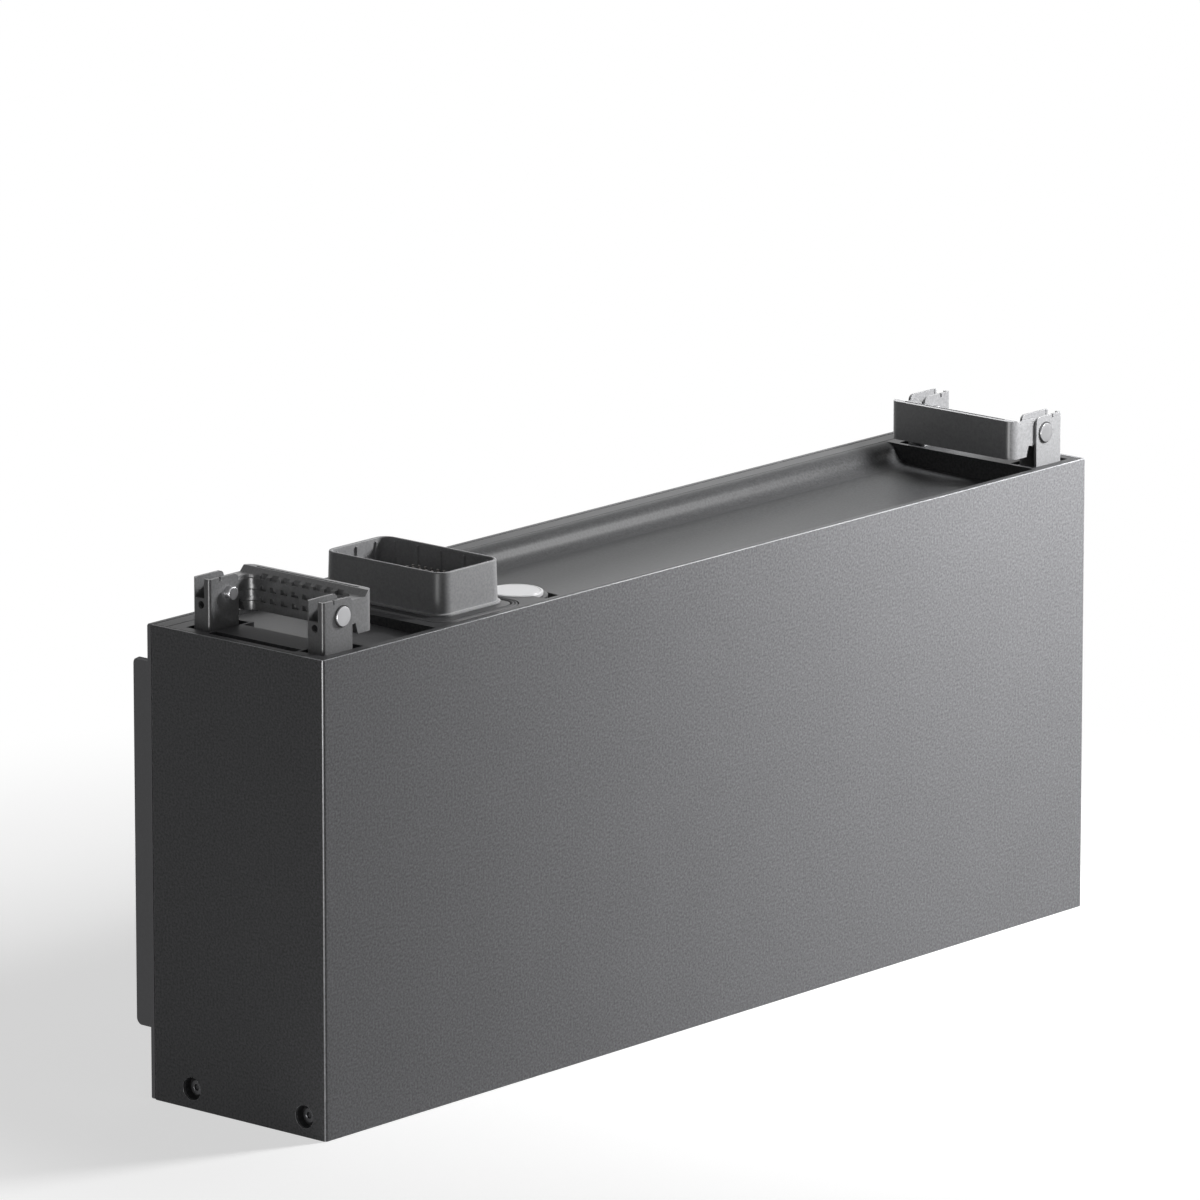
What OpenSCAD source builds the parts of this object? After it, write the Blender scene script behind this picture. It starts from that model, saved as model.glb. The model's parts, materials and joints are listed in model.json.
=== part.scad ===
// Stackable home battery module: a wide metal housing with a finned rear plate,
// a cast top cover with a sunken tray, folding carry handles in sheet brackets
// and a shrouded stack connector. Inside are a row of prismatic cells, their
// compression frame, the power converter and the battery management board.
// All sizes are millimetres. The origin is under the middle of the whole part.

/* [Body] */
// Width of the housing
body_w = 1000; // [985:5:1060]
// Depth of the housing from the front face to the rear plate's outer face
body_d = 198; // [196:1:206]
// Height of the housing
body_h = 410; // [406:1:430]
// Thickness of the wrap-around sheet
wall = 2.5; // [2:0.5:3]
// Outer radius of the two vertical front edges
edge_r = 3; // [2.5:0.5:6]
// Visible gap between neighbouring panels
seam = 0.8; // [0.4:0.1:1.2]

/* [Rear plate] */
// Thickness of the rear plate
rear_t = 4; // [3:0.5:6]
// Radius of the rear plate's corners
rear_r = 2; // [1:0.5:6]
// Thickness of the seal between the rear plate and the housing
seal_t = 0.6; // [0.4:0.1:1]
// Width of the seal strip
seal_w = 8; // [5:1:12]
// Number of cooling fins
fin_n = 49; // [20:1:49]
// Distance from the plate's end to the first fin
fin_margin = 11.3; // [5:0.1:40]
// Thickness of a fin
fin_t = 3; // [2:0.5:5]
// How far a fin stands out of the rear plate
fin_out = 27; // [12:1:40]
// Height of the lower end of the fins
fin_z0 = 58; // [50:1:120]
// Length of a fin
fin_len = 318; // [200:1:330]
// Radius of a fin's free corners
fin_r = 6; // [3:1:10]
// Diameter of a rear screw's head
rear_head_d = 8; // [7:0.5:10]
// Height of a rear screw's head
rear_head_h = 2; // [1:0.5:3]

/* [Top cover] */
// Wall of the cast top cover
cover_t = 3; // [2:0.5:4]
// Distance from the front face to the inner edge of the front rim
rim_in = 8; // [7:0.5:12]
// Width of the flat rail along the rear top edge
rail_w = 14.6; // [10:0.1:20]
// Length of the raised deck that carries the near brackets
deck_near = 50; // [48:1:58]
// Length of the raised deck at the far end
deck_far = 64; // [60:1:75]
// Where the connector deck begins, from the near end
plate_x0 = 147; // [140:1:150]
// Length of the connector deck
plate_len = 138; // [134:1:150]
// Depth of the hand recess below the near handle, at its rear
pan_depth = 6; // [4:0.5:8]
// Depth of the long tray at the foot of its rear slope
tray_depth = 17; // [10:0.5:20]
// Fall of the tray's floor towards the front, as a ratio
fall = 0.03; // [0:0.005:0.04]
// Distance from the foot of the tray's rear slope to the rear plate's outer face
foot_back = 50; // [46:1:66]
// Radius of the hollow at the foot of the slope
foot_r = 18; // [12:1:24]

/* [Brackets] */
// Thickness of the folded bracket sheet
ear_t = 2.5; // [2:0.5:3]
// Width of a bracket across its two ears
ear_w = 19; // [18:0.5:22]
// Distance from the end face to a bracket's web
web_x = 16.5; // [15:0.5:20]
// Length of the ears
ear_len = 35.5; // [33:0.5:37]
// Height of a bracket above the cover
ear_h = 43; // [40:1:48]
// Outer radius of the bracket's folds
fold_r = 3; // [2.6:0.1:4]
// Radius of the ears' free top corner
ear_r = 5; // [2:1:8]
// Width of the open slot in the web
slot_w = 10; // [6:1:12]
// Depth of the open slot in the web
slot_h = 17; // [10:1:18]
// Diameter of the stacking hole in the web
stack_d = 6.6; // [6.4:0.1:7]
// Height of the stacking hole above the cover
stack_up = 20.4; // [17:0.1:22]
// Distance from the front face to the front brackets' middle
bracket_y1 = 24.2; // [23:0.1:30]
// Distance from the rear brackets' middle to the rear plate's outer face
bracket_back = 46.2; // [45:0.1:58]

/* [Handles] */
// Distance from the web to the handle's pivot
pivot_out = 23.3; // [20:0.1:26]
// Height of the pivot above the cover
pivot_up = 28.3; // [25:0.1:32]
// Diameter of the pivot pin
pin_d = 8; // [6:0.5:9]
// Clearance between pin and handle on the diameter
pin_gap = 0.1; // [0.06:0.02:0.2]
// Diameter of the pin's flat head
pin_head_d = 16.7; // [14:0.1:18]
// Diameter of the collar on the pin's inner end
pin_collar_d = 11.4; // [10:0.1:13]
// Length of the collar on the pin's inner end
pin_collar_len = 6; // [3:0.5:8]
// Distance from the pivot to the outer face of the grip
reach = 42.5; // [40:0.5:46]
// Thickness of the grip
grip_t = 14; // [12:0.5:16]
// Height of the grip
grip_h = 34.5; // [30:0.5:36]
// Side clearance between a handle arm and a bracket ear
arm_gap = 0.6; // [0.4:0.1:1]
// Radius of the grip's two outer corners
grip_r = 9; // [5:1:11]
// Radius of the grip's two inner corners
grip_in_r = 8; // [4:1:10]
// Number of pockets in a row on the inside of the grip
pocket_n = 8; // [4:1:8]
// Distance from pocket to pocket
pocket_pitch = 12.2; // [10:0.1:12.4]

/* [Connector] */
// Distance from the near end face to the shroud
shroud_x = 176; // [174:1:180]
// Distance from the front face to the shroud
shroud_y = 28; // [26:1:30]
// Length of the shroud along the housing
shroud_l = 79; // [74:1:80]
// Distance from the shroud to the rear plate's outer face
shroud_back = 35; // [33:1:44]
// Height of the shroud
shroud_h = 37; // [30:1:40]
// Wall of the shroud
shroud_t = 2.8; // [2:0.2:3.4]
// Corner radius of the shroud
shroud_r = 13; // [10:1:16]
// Lean of the shroud's walls from foot to lip
shroud_draft = 1; // [0.5:0.1:1.5]
// Diameter of the white vent cap
cap_d = 46.4; // [38:0.2:46.4]
// Height of the vent cap
cap_h = 3.6; // [3:0.2:5]
// Diameter of a power contact
power_d = 10; // [8:0.5:11]
// Free length of a power contact above its block
power_len = 14; // [10:0.5:15]

/* [Cells] */
// Number of cells in the row
cell_n = 16; // [12:1:16]
// Free length between an end face and the row of cells
row_margin = 60.5; // [58:0.5:70]
// Clearance between the cells and the housing, front and rear
cell_side = 8.6; // [6:0.1:12]
// Height of a cell's can
cell_h = 205; // [195:1:207]
// Thickness of the sheet between two cells
spacer_t = 1; // [0.6:0.1:1.5]
// Thickness of the plates that clamp the row
clamp_t = 12; // [10:1:14]

/* [Base] */
// Thickness of the flat bottom plate
base_t = 3; // [2:0.5:4]
// Depth of the two recesses in the underside
recess_h = 47; // [46:0.5:49]
// Wall of the recess liners
liner_t = 2; // [1.5:0.5:2.5]
// Height of the base frame's upper face
frame_z = 56; // [54:1:58]
// Thickness of the plate that the cells stand on
floor_t = 4; // [3:0.5:6]
// Diameter of the sunk screw seats in the end faces
seat_d = 20; // [16:0.5:22]
// Depth of the sunk screw seats
seat_deep = 9.5; // [8:0.5:10]
// Height of the stacking screws above the bottom
seat_z = 17.3; // [15:0.1:22]
// Diameter of a stacking screw's head
stack_head_d = 13; // [11:0.5:14]

/* [Hidden] */
$fn = 48;

// Small distance by which a cutting solid passes a face
cut = 1;

// Places along the depth
rear_y = body_d - rear_t;
inner_y1 = rear_y - seal_t;
overall_d = body_d + fin_out;
rail_h = 16;
rail_y0 = inner_y1 - rail_w;
cover_y0 = wall + seam;
cover_y1 = rail_y0 - seam;
inner_x0 = wall;
inner_x1 = body_w - wall;
cover_x0 = wall + seam / 2;
cover_x1 = body_w - cover_x0;
foot_y = body_d - foot_back;
bracket_y2 = body_d - bracket_back;
shroud_w = body_d - shroud_y - shroud_back;

// Rear plate
fin_pitch = (body_w - 2 * fin_margin - fin_t) / (fin_n - 1);
rear_screw_n = 6;
rear_screw_edge = 10;
rear_screw_rise = 30;
rear_screw_d = 5;
rear_head_room = 2;
rear_hole_d = 5.6;
drive_d = 3;
drive_deep = 1;

// Decks and floors of the top cover
tray_x0 = plate_x0 + plate_len;
tray_x1 = body_w - deck_far;
plate_t = cover_t + 1;
pan_wall_y = cover_y1 - cover_t;
slope_steps = 8;

// Bracket places: the sheet stands on the end frames, below the cover
bracket_ys = [bracket_y1, bracket_y2];
bracket_foot = 9;
foot_z = body_h - bracket_foot;
foot_len = 24;
foot_hole_x = web_x + foot_len / 2 + ear_t / 2;
foot_hole_d = 5.6;
foot_screw_d = 5;
foot_head_d = 9;
foot_head_h = 3;
slot_shift = 1.5;
notch_back = 11;
notch_w = 1.6;
notch_h = 3.5;
window_gap = 4;
window_x0 = web_x - window_gap;
window_x1 = web_x + ear_len + 2 * window_gap;
window_w = ear_w + 2 * window_gap;
window_deep = 30;
slot_deck_x = 8.5;
slot_deck_gap = 2;
slot_deck_past = 5;

// Handle
pivot_x = web_x + pivot_out;
pivot_z = body_h + pivot_up;
arm_r = 10.5;
arm_h = arm_r - 0.2;
grip_rise = 15.2;
grip_top = pivot_z + grip_rise;
grip_bottom = grip_top - grip_h;
grip_x1 = pivot_x + reach;
grip_x0 = grip_x1 - grip_t;
shoulder = [2.5, 7];
heel = [6, 9, 13];
heel_drop = 0.6;
arm_t = ear_w - 2 * ear_t - 2 * arm_gap;
handle_y0 = bracket_y1 - arm_t / 2;
handle_y1 = bracket_y2 + arm_t / 2;
pocket_w = 7.4;
pocket_h = 4.4;
pocket_deep = 4;
pocket_rise = 9.7;
corner_deep = 2;
lip_back = 8;
lip_w = 2.4;
lip_deep = 3;
washer_t = 0.5;
washer_d = pin_head_d + 2;
head_t = 1.4;

// Connector
flange_out = 2.4;
flange_t = 1.5;
rib_w = 1.4;
rib_out = 1.6;
rib_drop = 3;
block_margin = 10;
block_x0 = shroud_x + block_margin;
block_y0 = shroud_y + block_margin;
block_l = shroud_l - 2 * block_margin;
block_w = shroud_w - 2 * block_margin;
block_drop = 14;
block_up = 14;
block_lip = 4;
gasket_w = 5.2;
gasket_t = 2.6;
groove_w = 7.6;
groove_deep = 2;
groove_r = 20;
groove_x0 = shroud_x - 18;
groove_x1 = shroud_x + shroud_l + 9.6;
groove_y0 = rim_in + 0.6;
groove_y1 = cover_y1 - 2;
power_x = block_x0 + block_l * 0.3;
power_ys = [0.16, 0.36, 0.64, 0.84];
power_base_d = power_d + 3;
power_neck = 0.5;
power_drop = 8;
power_z0 = body_h - block_drop - power_drop;
signal_x = block_x0 + block_l * 0.72;
signal_pitch = 7;
signal_n = 6;
signal_d = 2.4;
signal_drop = 4;
signal_len = 40;
signal_z0 = body_h - block_drop - signal_drop;
vent_x = groove_x1 + 24.9;
vent_y = 45.5;
vent_z = body_h - 3;
vent_boss_r = cap_d / 2 + 4;
vent_bore_d = 14;
membrane_t = 1.5;

// Sump in the tray floor behind the vent cap
sump_x0 = vent_x + 31;
sump_l = 42.5;
sump_y0 = 20;
sump_w = 80;
sump_deep = 3;

// Base and recesses
recess_x0 = 14;
recess_past_shroud = 21;
recess_past_grip = 12.7;
recess_side = 3.7;
recess_rear = 15.4;
recess_near_l = shroud_x + shroud_l + recess_past_shroud - recess_x0;
recess_far_l = grip_x1 + recess_past_grip - recess_x0;
recess_y0 = bracket_y1 - ear_w / 2 - recess_side;
recess_y1 = inner_y1 - recess_rear;
recess_far_x0 = body_w - recess_x0 - recess_far_l;
roof_z = recess_h + liner_t;
roof_edge = 6;
rib_t = 4;
rib_n = 6;
bolt_d = 6;
waist_d = 5;
bolt_hole_d = 6.6;
stack_head_h = 4;
stack_len = 18;
stack_socket_d = 5.8;
stack_socket_deep = 2.5;

// Plug that enters the shroud of the module below
plug_gap = 3.5;
plug_in = shroud_t + plug_gap;
plug_z0 = 12;
plug_flange = 4;
plug_roof = 6;
socket_d = power_d + 4;
socket_in_d = power_d + 0.4;
socket_len = 22;
stud_d = 8;
signal_margin = 3;

// Cell row
cell_w = inner_y1 - wall - 2 * cell_side;
cell_t = (body_w - 2 * row_margin - (cell_n - 1) * spacer_t) / cell_n;
floor_z = frame_z + floor_t;
pad_t = 1;
cell_z = floor_z + pad_t;
cell_top = cell_z + cell_h;
row_len = body_w - 2 * row_margin;
row_x0 = row_margin;
row_y0 = wall + cell_side;
terminal_in = 32;
terminal_d = 22;
terminal_h = 3;
spacer_drop = 4;
busbar_t = 2;
busbar_w = 28;
busbar_in = 12;
sense_t = 1.6;
sense_in = 8;
sense_side = 26;
lid_gap = 1;
lid_t = 2;
lid_z = cell_top + terminal_h + busbar_t + sense_t + lid_gap;
band_t = 1.5;
band_h = 25;
band_rise = 30;
band_drop = 40;
band_zs = [cell_z + band_rise, cell_z + cell_h - band_drop - band_h];
clamp_drop = 15;
clamp_h = cell_h - clamp_drop;
clamp_foot = 16;
clamp_foot_t = 6;
clamp_rib_n = 5;
clamp_edge = 14;
clamp_hollow_w = 22;
clamp_hollow_z = [18, 12];
clamp_web = 4;

// Shelf and end frames
shelf_gap = 2;
shelf_z = lid_z + lid_t + shelf_gap;
shelf_t = 2;
shelf_top = shelf_z + shelf_t;
shelf_pad = 20;
end_wall_t = 5;
end_top_t = 6;
end_window_n = 3;
end_window_w = 32;
end_window_z0 = floor_z + 30;
end_window_z1 = shelf_z - 28;
brace_h = 70;
brace_t = 5;
brace_out = 9;
shelf_x0 = inner_x0 + end_wall_t;
shelf_x1 = body_w - shelf_x0;

// Converter
board_past_tray = 45;
board_end_room = 110;
board_side_room = 78;
board_x0 = tray_x0 + board_past_tray;
board_l = body_w - board_x0 - board_end_room;
board_y0 = 20;
board_w = body_d - board_side_room;
board_t = 2;
standoff_h = 8;
standoff_d = 8;
standoff_in = 9;
board_z = shelf_top + standoff_h;
part_z = board_z + board_t;
spreader_in = 50;
spreader_x0 = board_x0 + spreader_in;
spreader_l = board_l - 2 * spreader_in;
spreader_t = 12;
spreader_h = 60;
spreader_w = 20;
choke_n = 3;
choke_d = 60;
choke_bore = 22;
choke_h = 34;
choke_first = 0.13;
choke_step = 0.145;
choke_y = board_y0 + 40;
can_n = 6;
can_d = 30;
can_h = 50;
can_pitch = 34;
can_end = 40;
can_y = board_y0 + 30;

// Contactors, fuse and management board beside them
contactor = [60, 50, 52];
contactor_x = row_x0 + 35.5;
terminal_post_d = 10;
terminal_post_h = 8;
terminal_post_in = 14;
manage_gap = 14;
manage_board_gap = 30;
manage_rear_room = 13.4;
manage_w = 68;
manage_x0 = contactor_x + contactor[0] + manage_gap;
manage_x1 = board_x0 - manage_board_gap;
manage_y1 = inner_y1 - manage_rear_room;
manage_y0 = manage_y1 - manage_w;
fuse_board_gap = 60;
fuse_gap = 6;
fuse_w = 26;
fuse_d = 30;
fuse_foot = 6;
fuse_x = board_x0 - fuse_board_gap;
fuse_y = 16;
fuse_l = manage_y0 - fuse_gap - fuse_y;
manage_t = 8;
manage_box = [40, 46, 12];
manage_box_in = 10;

// Copper bars and looms
bar_t = 3;
bar_w = 34;
bar_past = 8;
bar_slot = 1.5;
riser_x = 15.5;
contact_z = shelf_top + contactor[2] + terminal_post_h;
loom_d = 6;
loom_hole_d = 8;
loom_knot_d = 6.4;
loom_gap = 0.2;
loom_x = 20;
loom_y = manage_y1 - 8;
tap_d = 8;
tap_hole_d = 12;
tap_x = manage_x0 + 70;
tap_y = row_y0 + cell_w / 2 + 36;
header_margin = 5;
header_h = 8;

// Puts the model's origin under the middle of the whole part
module placed() {
  translate([-body_w / 2, -overall_d / 2, 0]) children();
}

// The same thing at the far end
module far_end() {
  translate([body_w, 0, 0]) mirror([1, 0, 0]) children();
}

// A block given by its lowest and highest corner
module block(low, high) {
  translate(low) cube(high - low);
}

// A flat rounded rectangle with true arcs, lowest corner at the origin
module round_rect(l, w, r) {
  translate([r, 0]) square([l - 2 * r, w]);
  translate([0, r]) square([l, w - 2 * r]);
  for (x = [r, l - r], y = [r, w - r]) translate([x, y]) circle(r);
}

// A rod along Y or X that starts at the given point
module rod_y(p, d, len) {
  translate(p) rotate([-90, 0, 0]) cylinder(d = d, h = len);
}
module rod_x(p, d, len) {
  translate(p) rotate([0, 90, 0]) cylinder(d = d, h = len);
}

// A profile drawn in Y and Z, carried along X
module along_x(x0, x1) {
  translate([x0, 0, 0]) rotate([90, 0, 90]) linear_extrude(x1 - x0) children();
}

// A profile drawn in X and Z, carried along Y
module along_y(y0, y1) {
  translate([0, y1, 0]) rotate([90, 0, 0]) linear_extrude(y1 - y0) children();
}

// Housing sheet: front and both ends in one wrap

module shell_outline() {
  difference() {
    union() {
      translate([edge_r, 0]) square([body_w - 2 * edge_r, inner_y1]);
      translate([0, edge_r]) square([body_w, inner_y1 - edge_r]);
      for (x = [edge_r, body_w - edge_r]) translate([x, edge_r]) circle(edge_r);
    }
    translate([wall, wall]) square([body_w - 2 * wall, body_d]);
  }
}

module end_seat(y) {
  rod_x([-cut, y, seat_z], seat_d, wall + 2 * cut);
}

module shell() {
  color("#8d8e93") placed() difference() {
    linear_extrude(body_h) shell_outline();
    for (y = bracket_ys) {
      end_seat(y);
      far_end() end_seat(y);
    }
  }
}

// Rear plate with its cooling fins, one casting

function rear_screw_xs() = [
  for (i = [0 : rear_screw_n - 1])
    rear_screw_edge + i * (body_w - 2 * rear_screw_edge) / (rear_screw_n - 1)
];
function rear_screw_zs() = [rear_screw_rise, body_h - rear_screw_rise];

module rear_holes(d) {
  for (x = rear_screw_xs(), z = rear_screw_zs())
    rod_y([x, rear_y - cut, z], d, rear_t + 2 * cut);
}

// A fin stops short of a screw head wherever it would reach one
module fin(x) {
  translate([x, 0, 0]) along_x(0, fin_t) union() {
    translate([body_d - cut, fin_z0]) square([fin_out + cut - fin_r, fin_len]);
    translate([body_d, fin_z0 + fin_r]) square([fin_out, fin_len - 2 * fin_r]);
    for (z = [fin_z0 + fin_r, fin_z0 + fin_len - fin_r])
      translate([body_d + fin_out - fin_r, z]) circle(fin_r);
  }
}

module rear_plate() {
  color("#4a4b50") placed() {
    difference() {
      along_y(rear_y, body_d) round_rect(body_w, body_h, rear_r);
      rear_holes(rear_hole_d);
    }
    difference() {
      for (i = [0 : fin_n - 1]) fin(fin_margin + i * fin_pitch);
      for (x = rear_screw_xs(), z = rear_screw_zs())
        rod_y([x, body_d, z], rear_head_d + 2 * rear_head_room, fin_out + cut);
    }
  }
}

module rear_seal() {
  color("#26262a") placed() difference() {
    block([seam, inner_y1, seam], [body_w - seam, rear_y, body_h - seam]);
    block([seal_w, inner_y1 - cut, seal_w], [body_w - seal_w, body_d, body_h - seal_w]);
  }
}

module rear_screws() {
  color("#b9babd") placed()
    for (x = rear_screw_xs(), z = rear_screw_zs()) difference() {
      union() {
        rod_y([x, body_d, z], rear_head_d, rear_head_h);
        rod_y([x, rear_y + seam, z], rear_screw_d, rear_t);
      }
      rod_y([x, body_d + rear_head_h - drive_deep, z], drive_d, drive_deep + cut);
    }
}

// Flat rail that closes the top along the rear plate
module rear_rail() {
  color("#9b9ca0") placed() difference() {
    block([inner_x0, rail_y0, body_h - rail_h], [inner_x1, inner_y1, body_h]);
    block([inner_x0 - cut, rail_y0 + cover_t, body_h - rail_h - cut],
      [inner_x1 + cut, inner_y1 - cover_t, body_h - cover_t]);
  }
}

// Cast top cover

function tray_z(y) = body_h - tray_depth - fall * (foot_y - y);
function pan_z(y) = body_h - pan_depth - fall * (foot_y - y);

// The rear slope is two arcs that meet: a hollow at the foot, a round at the top
slope_w = cover_y1 - foot_y;
slope_a = 2 * atan(tray_depth / slope_w);
top_r = max(4, slope_w / sin(slope_a) - foot_r);
hollow_r = slope_w / sin(slope_a) - top_r;

function slope_foot(r, a) = [foot_y + r * sin(a), body_h - tray_depth + hollow_r - r * cos(a)];
function slope_top(r, a) = [cover_y1 - r * sin(a), body_h - top_r + r * cos(a)];

function slope_line(t) = concat(
  [for (i = [0 : slope_steps]) slope_foot(hollow_r + t, slope_a * i / slope_steps)],
  [for (i = [1 : slope_steps]) slope_top(top_r - t, slope_a * (1 - i / slope_steps))]
);

module tray_section() {
  under = [for (i = [2 * slope_steps : -1 : 0]) slope_line(cover_t)[i]];
  polygon(concat(
    [[cover_y0, body_h], [rim_in, body_h], [rim_in, tray_z(rim_in)]],
    slope_line(0),
    under,
    [[cover_y0, tray_z(cover_y0) - cover_t]]
  ));
}

// Everything above the tray's floor, to close the tray's ends with the same outline
module tray_end_section() {
  polygon(concat(
    [[cover_y0, body_h], [cover_y0, tray_z(cover_y0) - cover_t]],
    slope_line(cover_t)
  ));
}

module pan_section() {
  polygon([
    [cover_y0, body_h], [rim_in, body_h], [rim_in, pan_z(rim_in)],
    [pan_wall_y, pan_z(pan_wall_y)], [pan_wall_y, body_h], [cover_y1, body_h],
    [cover_y1, pan_z(cover_y1) - cover_t], [cover_y0, pan_z(cover_y0) - cover_t]
  ]);
}

module pan_end_section() {
  polygon([
    [cover_y0, body_h], [cover_y1, body_h],
    [cover_y1, pan_z(cover_y1) - cover_t], [cover_y0, pan_z(cover_y0) - cover_t]
  ]);
}

module deck(x0, x1, t) {
  block([x0, cover_y0, body_h - t], [x1, cover_y1, body_h]);
}

// Tabs of the near deck that reach round the bracket feet
module deck_tab(y0, y1) {
  block([deck_near - cover_t, y0, body_h - cover_t], [window_x1 + cover_t, y1, body_h]);
  intersection() {
    union() {
      block([window_x1, y0, 0], [window_x1 + cover_t, y1, body_h]);
      for (y = [y0, y1 - cover_t])
        block([deck_near - cover_t, y, 0], [window_x1 + cover_t, y + cover_t, body_h]);
    }
    along_x(deck_near - cover_t, window_x1 + cover_t) pan_end_section();
  }
}

module bracket_window(y) {
  block([window_x0, y - window_w / 2, body_h - window_deep],
    [window_x1, y + window_w / 2, body_h + cut]);
}

module deck_slot() {
  block([slot_deck_x, bracket_y1 + window_w / 2 + slot_deck_gap, body_h - window_deep],
    [window_x0 + slot_deck_past, bracket_y2 - window_w / 2 - slot_deck_gap, body_h + cut]);
}

module gasket_ring(inset, w, z0, z1) {
  l = groove_x1 - groove_x0 - 2 * inset;
  d = groove_y1 - groove_y0 - 2 * inset;
  r = groove_r - inset;
  translate([groove_x0 + inset, groove_y0 + inset, z0]) linear_extrude(z1 - z0) difference() {
    round_rect(l, d, r);
    translate([w, w]) round_rect(l - 2 * w, d - 2 * w, r - w);
  }
}

module top_cover() {
  sump_x1 = sump_x0 + sump_l;
  sump_y1 = sump_y0 + sump_w;
  sump_z = tray_z(sump_y0) - sump_deep;
  color("#77797e") placed() difference() {
    union() {
      deck(cover_x0, deck_near, cover_t);
      along_x(deck_near - cover_t, deck_near) pan_end_section();
      along_x(deck_near - cover_t, plate_x0 + cover_t) pan_section();
      deck_tab(cover_y0, bracket_y1 + window_w / 2 + cover_t);
      deck_tab(bracket_y2 - window_w / 2 - cover_t, cover_y1);
      along_x(plate_x0, plate_x0 + cover_t) pan_end_section();
      deck(plate_x0, tray_x0, plate_t);
      along_x(tray_x0 - cover_t, tray_x0) tray_end_section();
      along_x(tray_x0 - cover_t, tray_x1 + cover_t) tray_section();
      along_x(tray_x1, tray_x1 + cover_t) tray_end_section();
      deck(tray_x1, cover_x1, cover_t);
      translate([vent_x, vent_y, tray_z(rim_in) - cover_t])
        cylinder(r = vent_boss_r, h = vent_z - tray_z(rim_in) + cover_t);
      block([sump_x0 - cover_t, sump_y0 - cover_t, sump_z - cover_t],
        [sump_x1 + cover_t, sump_y1 + cover_t, tray_z(sump_y0)]);
    }
    for (y = bracket_ys) {
      bracket_window(y);
      far_end() bracket_window(y);
    }
    deck_slot();
    far_end() deck_slot();
    block([sump_x0, sump_y0, sump_z], [sump_x1, sump_y1, body_h - plate_t]);
    translate([vent_x, vent_y, 0]) cylinder(d = vent_bore_d, h = body_h + cut);
    translate([vent_x, vent_y, vent_z]) cylinder(d = cap_d + 2 * seam, h = cap_h + cut);
    block([block_x0 - seam, block_y0 - seam, body_h - plate_t - cut],
      [block_x0 + block_l + seam, block_y0 + block_w + seam, body_h + cut]);
    gasket_ring(0, groove_w, body_h - groove_deep, body_h + cut);
  }
}

// Folded sheet brackets

module ear_outline() {
  difference() {
    union() {
      translate([fold_r, 0]) square([ear_len - fold_r, ear_w]);
      translate([0, fold_r]) square([ear_len, ear_w - 2 * fold_r]);
      for (y = [fold_r, ear_w - fold_r]) translate([fold_r, y]) circle(fold_r);
    }
    translate([ear_t, ear_t]) square([ear_len, ear_w - 2 * ear_t]);
  }
}

module ear_side() {
  top = body_h + ear_h;
  union() {
    translate([web_x, foot_z]) square([ear_len - ear_r, top - foot_z]);
    translate([web_x, foot_z]) square([ear_len, top - foot_z - ear_r]);
    translate([web_x + ear_len - ear_r, top - ear_r]) circle(ear_r);
  }
}

module bracket(y) {
  y0 = y - ear_w / 2;
  top = body_h + ear_h;
  difference() {
    union() {
      intersection() {
        translate([web_x, y0, foot_z]) linear_extrude(bracket_foot + ear_h) ear_outline();
        along_y(y0 - cut, y0 + ear_w + cut) ear_side();
      }
      block([web_x + ear_t, y0 + ear_t, foot_z],
        [web_x + foot_len, y0 + ear_w - ear_t, foot_z + ear_t]);
    }
    block([web_x - cut, y - slot_w / 2 + slot_shift, top - slot_h],
      [web_x + ear_t + cut, y + slot_w / 2 + slot_shift, top + cut]);
    rod_x([web_x - cut, y, body_h + stack_up], stack_d, ear_t + 2 * cut);
    rod_y([pivot_x, y0 - cut, pivot_z], pin_d, ear_w + 2 * cut);
    block([pivot_x - notch_back, y0 - cut, top - notch_h],
      [pivot_x - notch_back + notch_w, y0 + ear_t + cut, top + cut]);
    translate([foot_hole_x, y, foot_z - cut]) cylinder(d = foot_hole_d, h = ear_t + 2 * cut);
  }
}

module bracket_near_front() {
  color("#b4b5ba") placed() bracket(bracket_y1);
}
module bracket_near_rear() {
  color("#b4b5ba") placed() bracket(bracket_y2);
}
module bracket_far_front() {
  color("#b4b5ba") placed() far_end() bracket(bracket_y1);
}
module bracket_far_rear() {
  color("#b4b5ba") placed() far_end() bracket(bracket_y2);
}

module bracket_screw(y) {
  reach_down = end_top_t - 1;
  translate([foot_hole_x, y, foot_z + ear_t]) cylinder(d = foot_head_d, h = foot_head_h);
  translate([foot_hole_x, y, foot_z - reach_down])
    cylinder(d = foot_screw_d, h = reach_down + ear_t + cut);
}

module bracket_screws() {
  color("#8c8d90") placed() for (y = bracket_ys) {
    bracket_screw(y);
    far_end() bracket_screw(y);
  }
}

// Folding carry handles

module handle_side() {
  polygon([
    [pivot_x, pivot_z + arm_h], [grip_x0 + shoulder[0], pivot_z + arm_h],
    [grip_x0 + shoulder[1], grip_top], [grip_x1, grip_top], [grip_x1, grip_bottom],
    [grip_x0 - heel[0], grip_bottom], [grip_x0 - heel[1], pivot_z - arm_h + heel_drop],
    [grip_x0 - heel[2], pivot_z - arm_h], [pivot_x, pivot_z - arm_h]
  ]);
}

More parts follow.
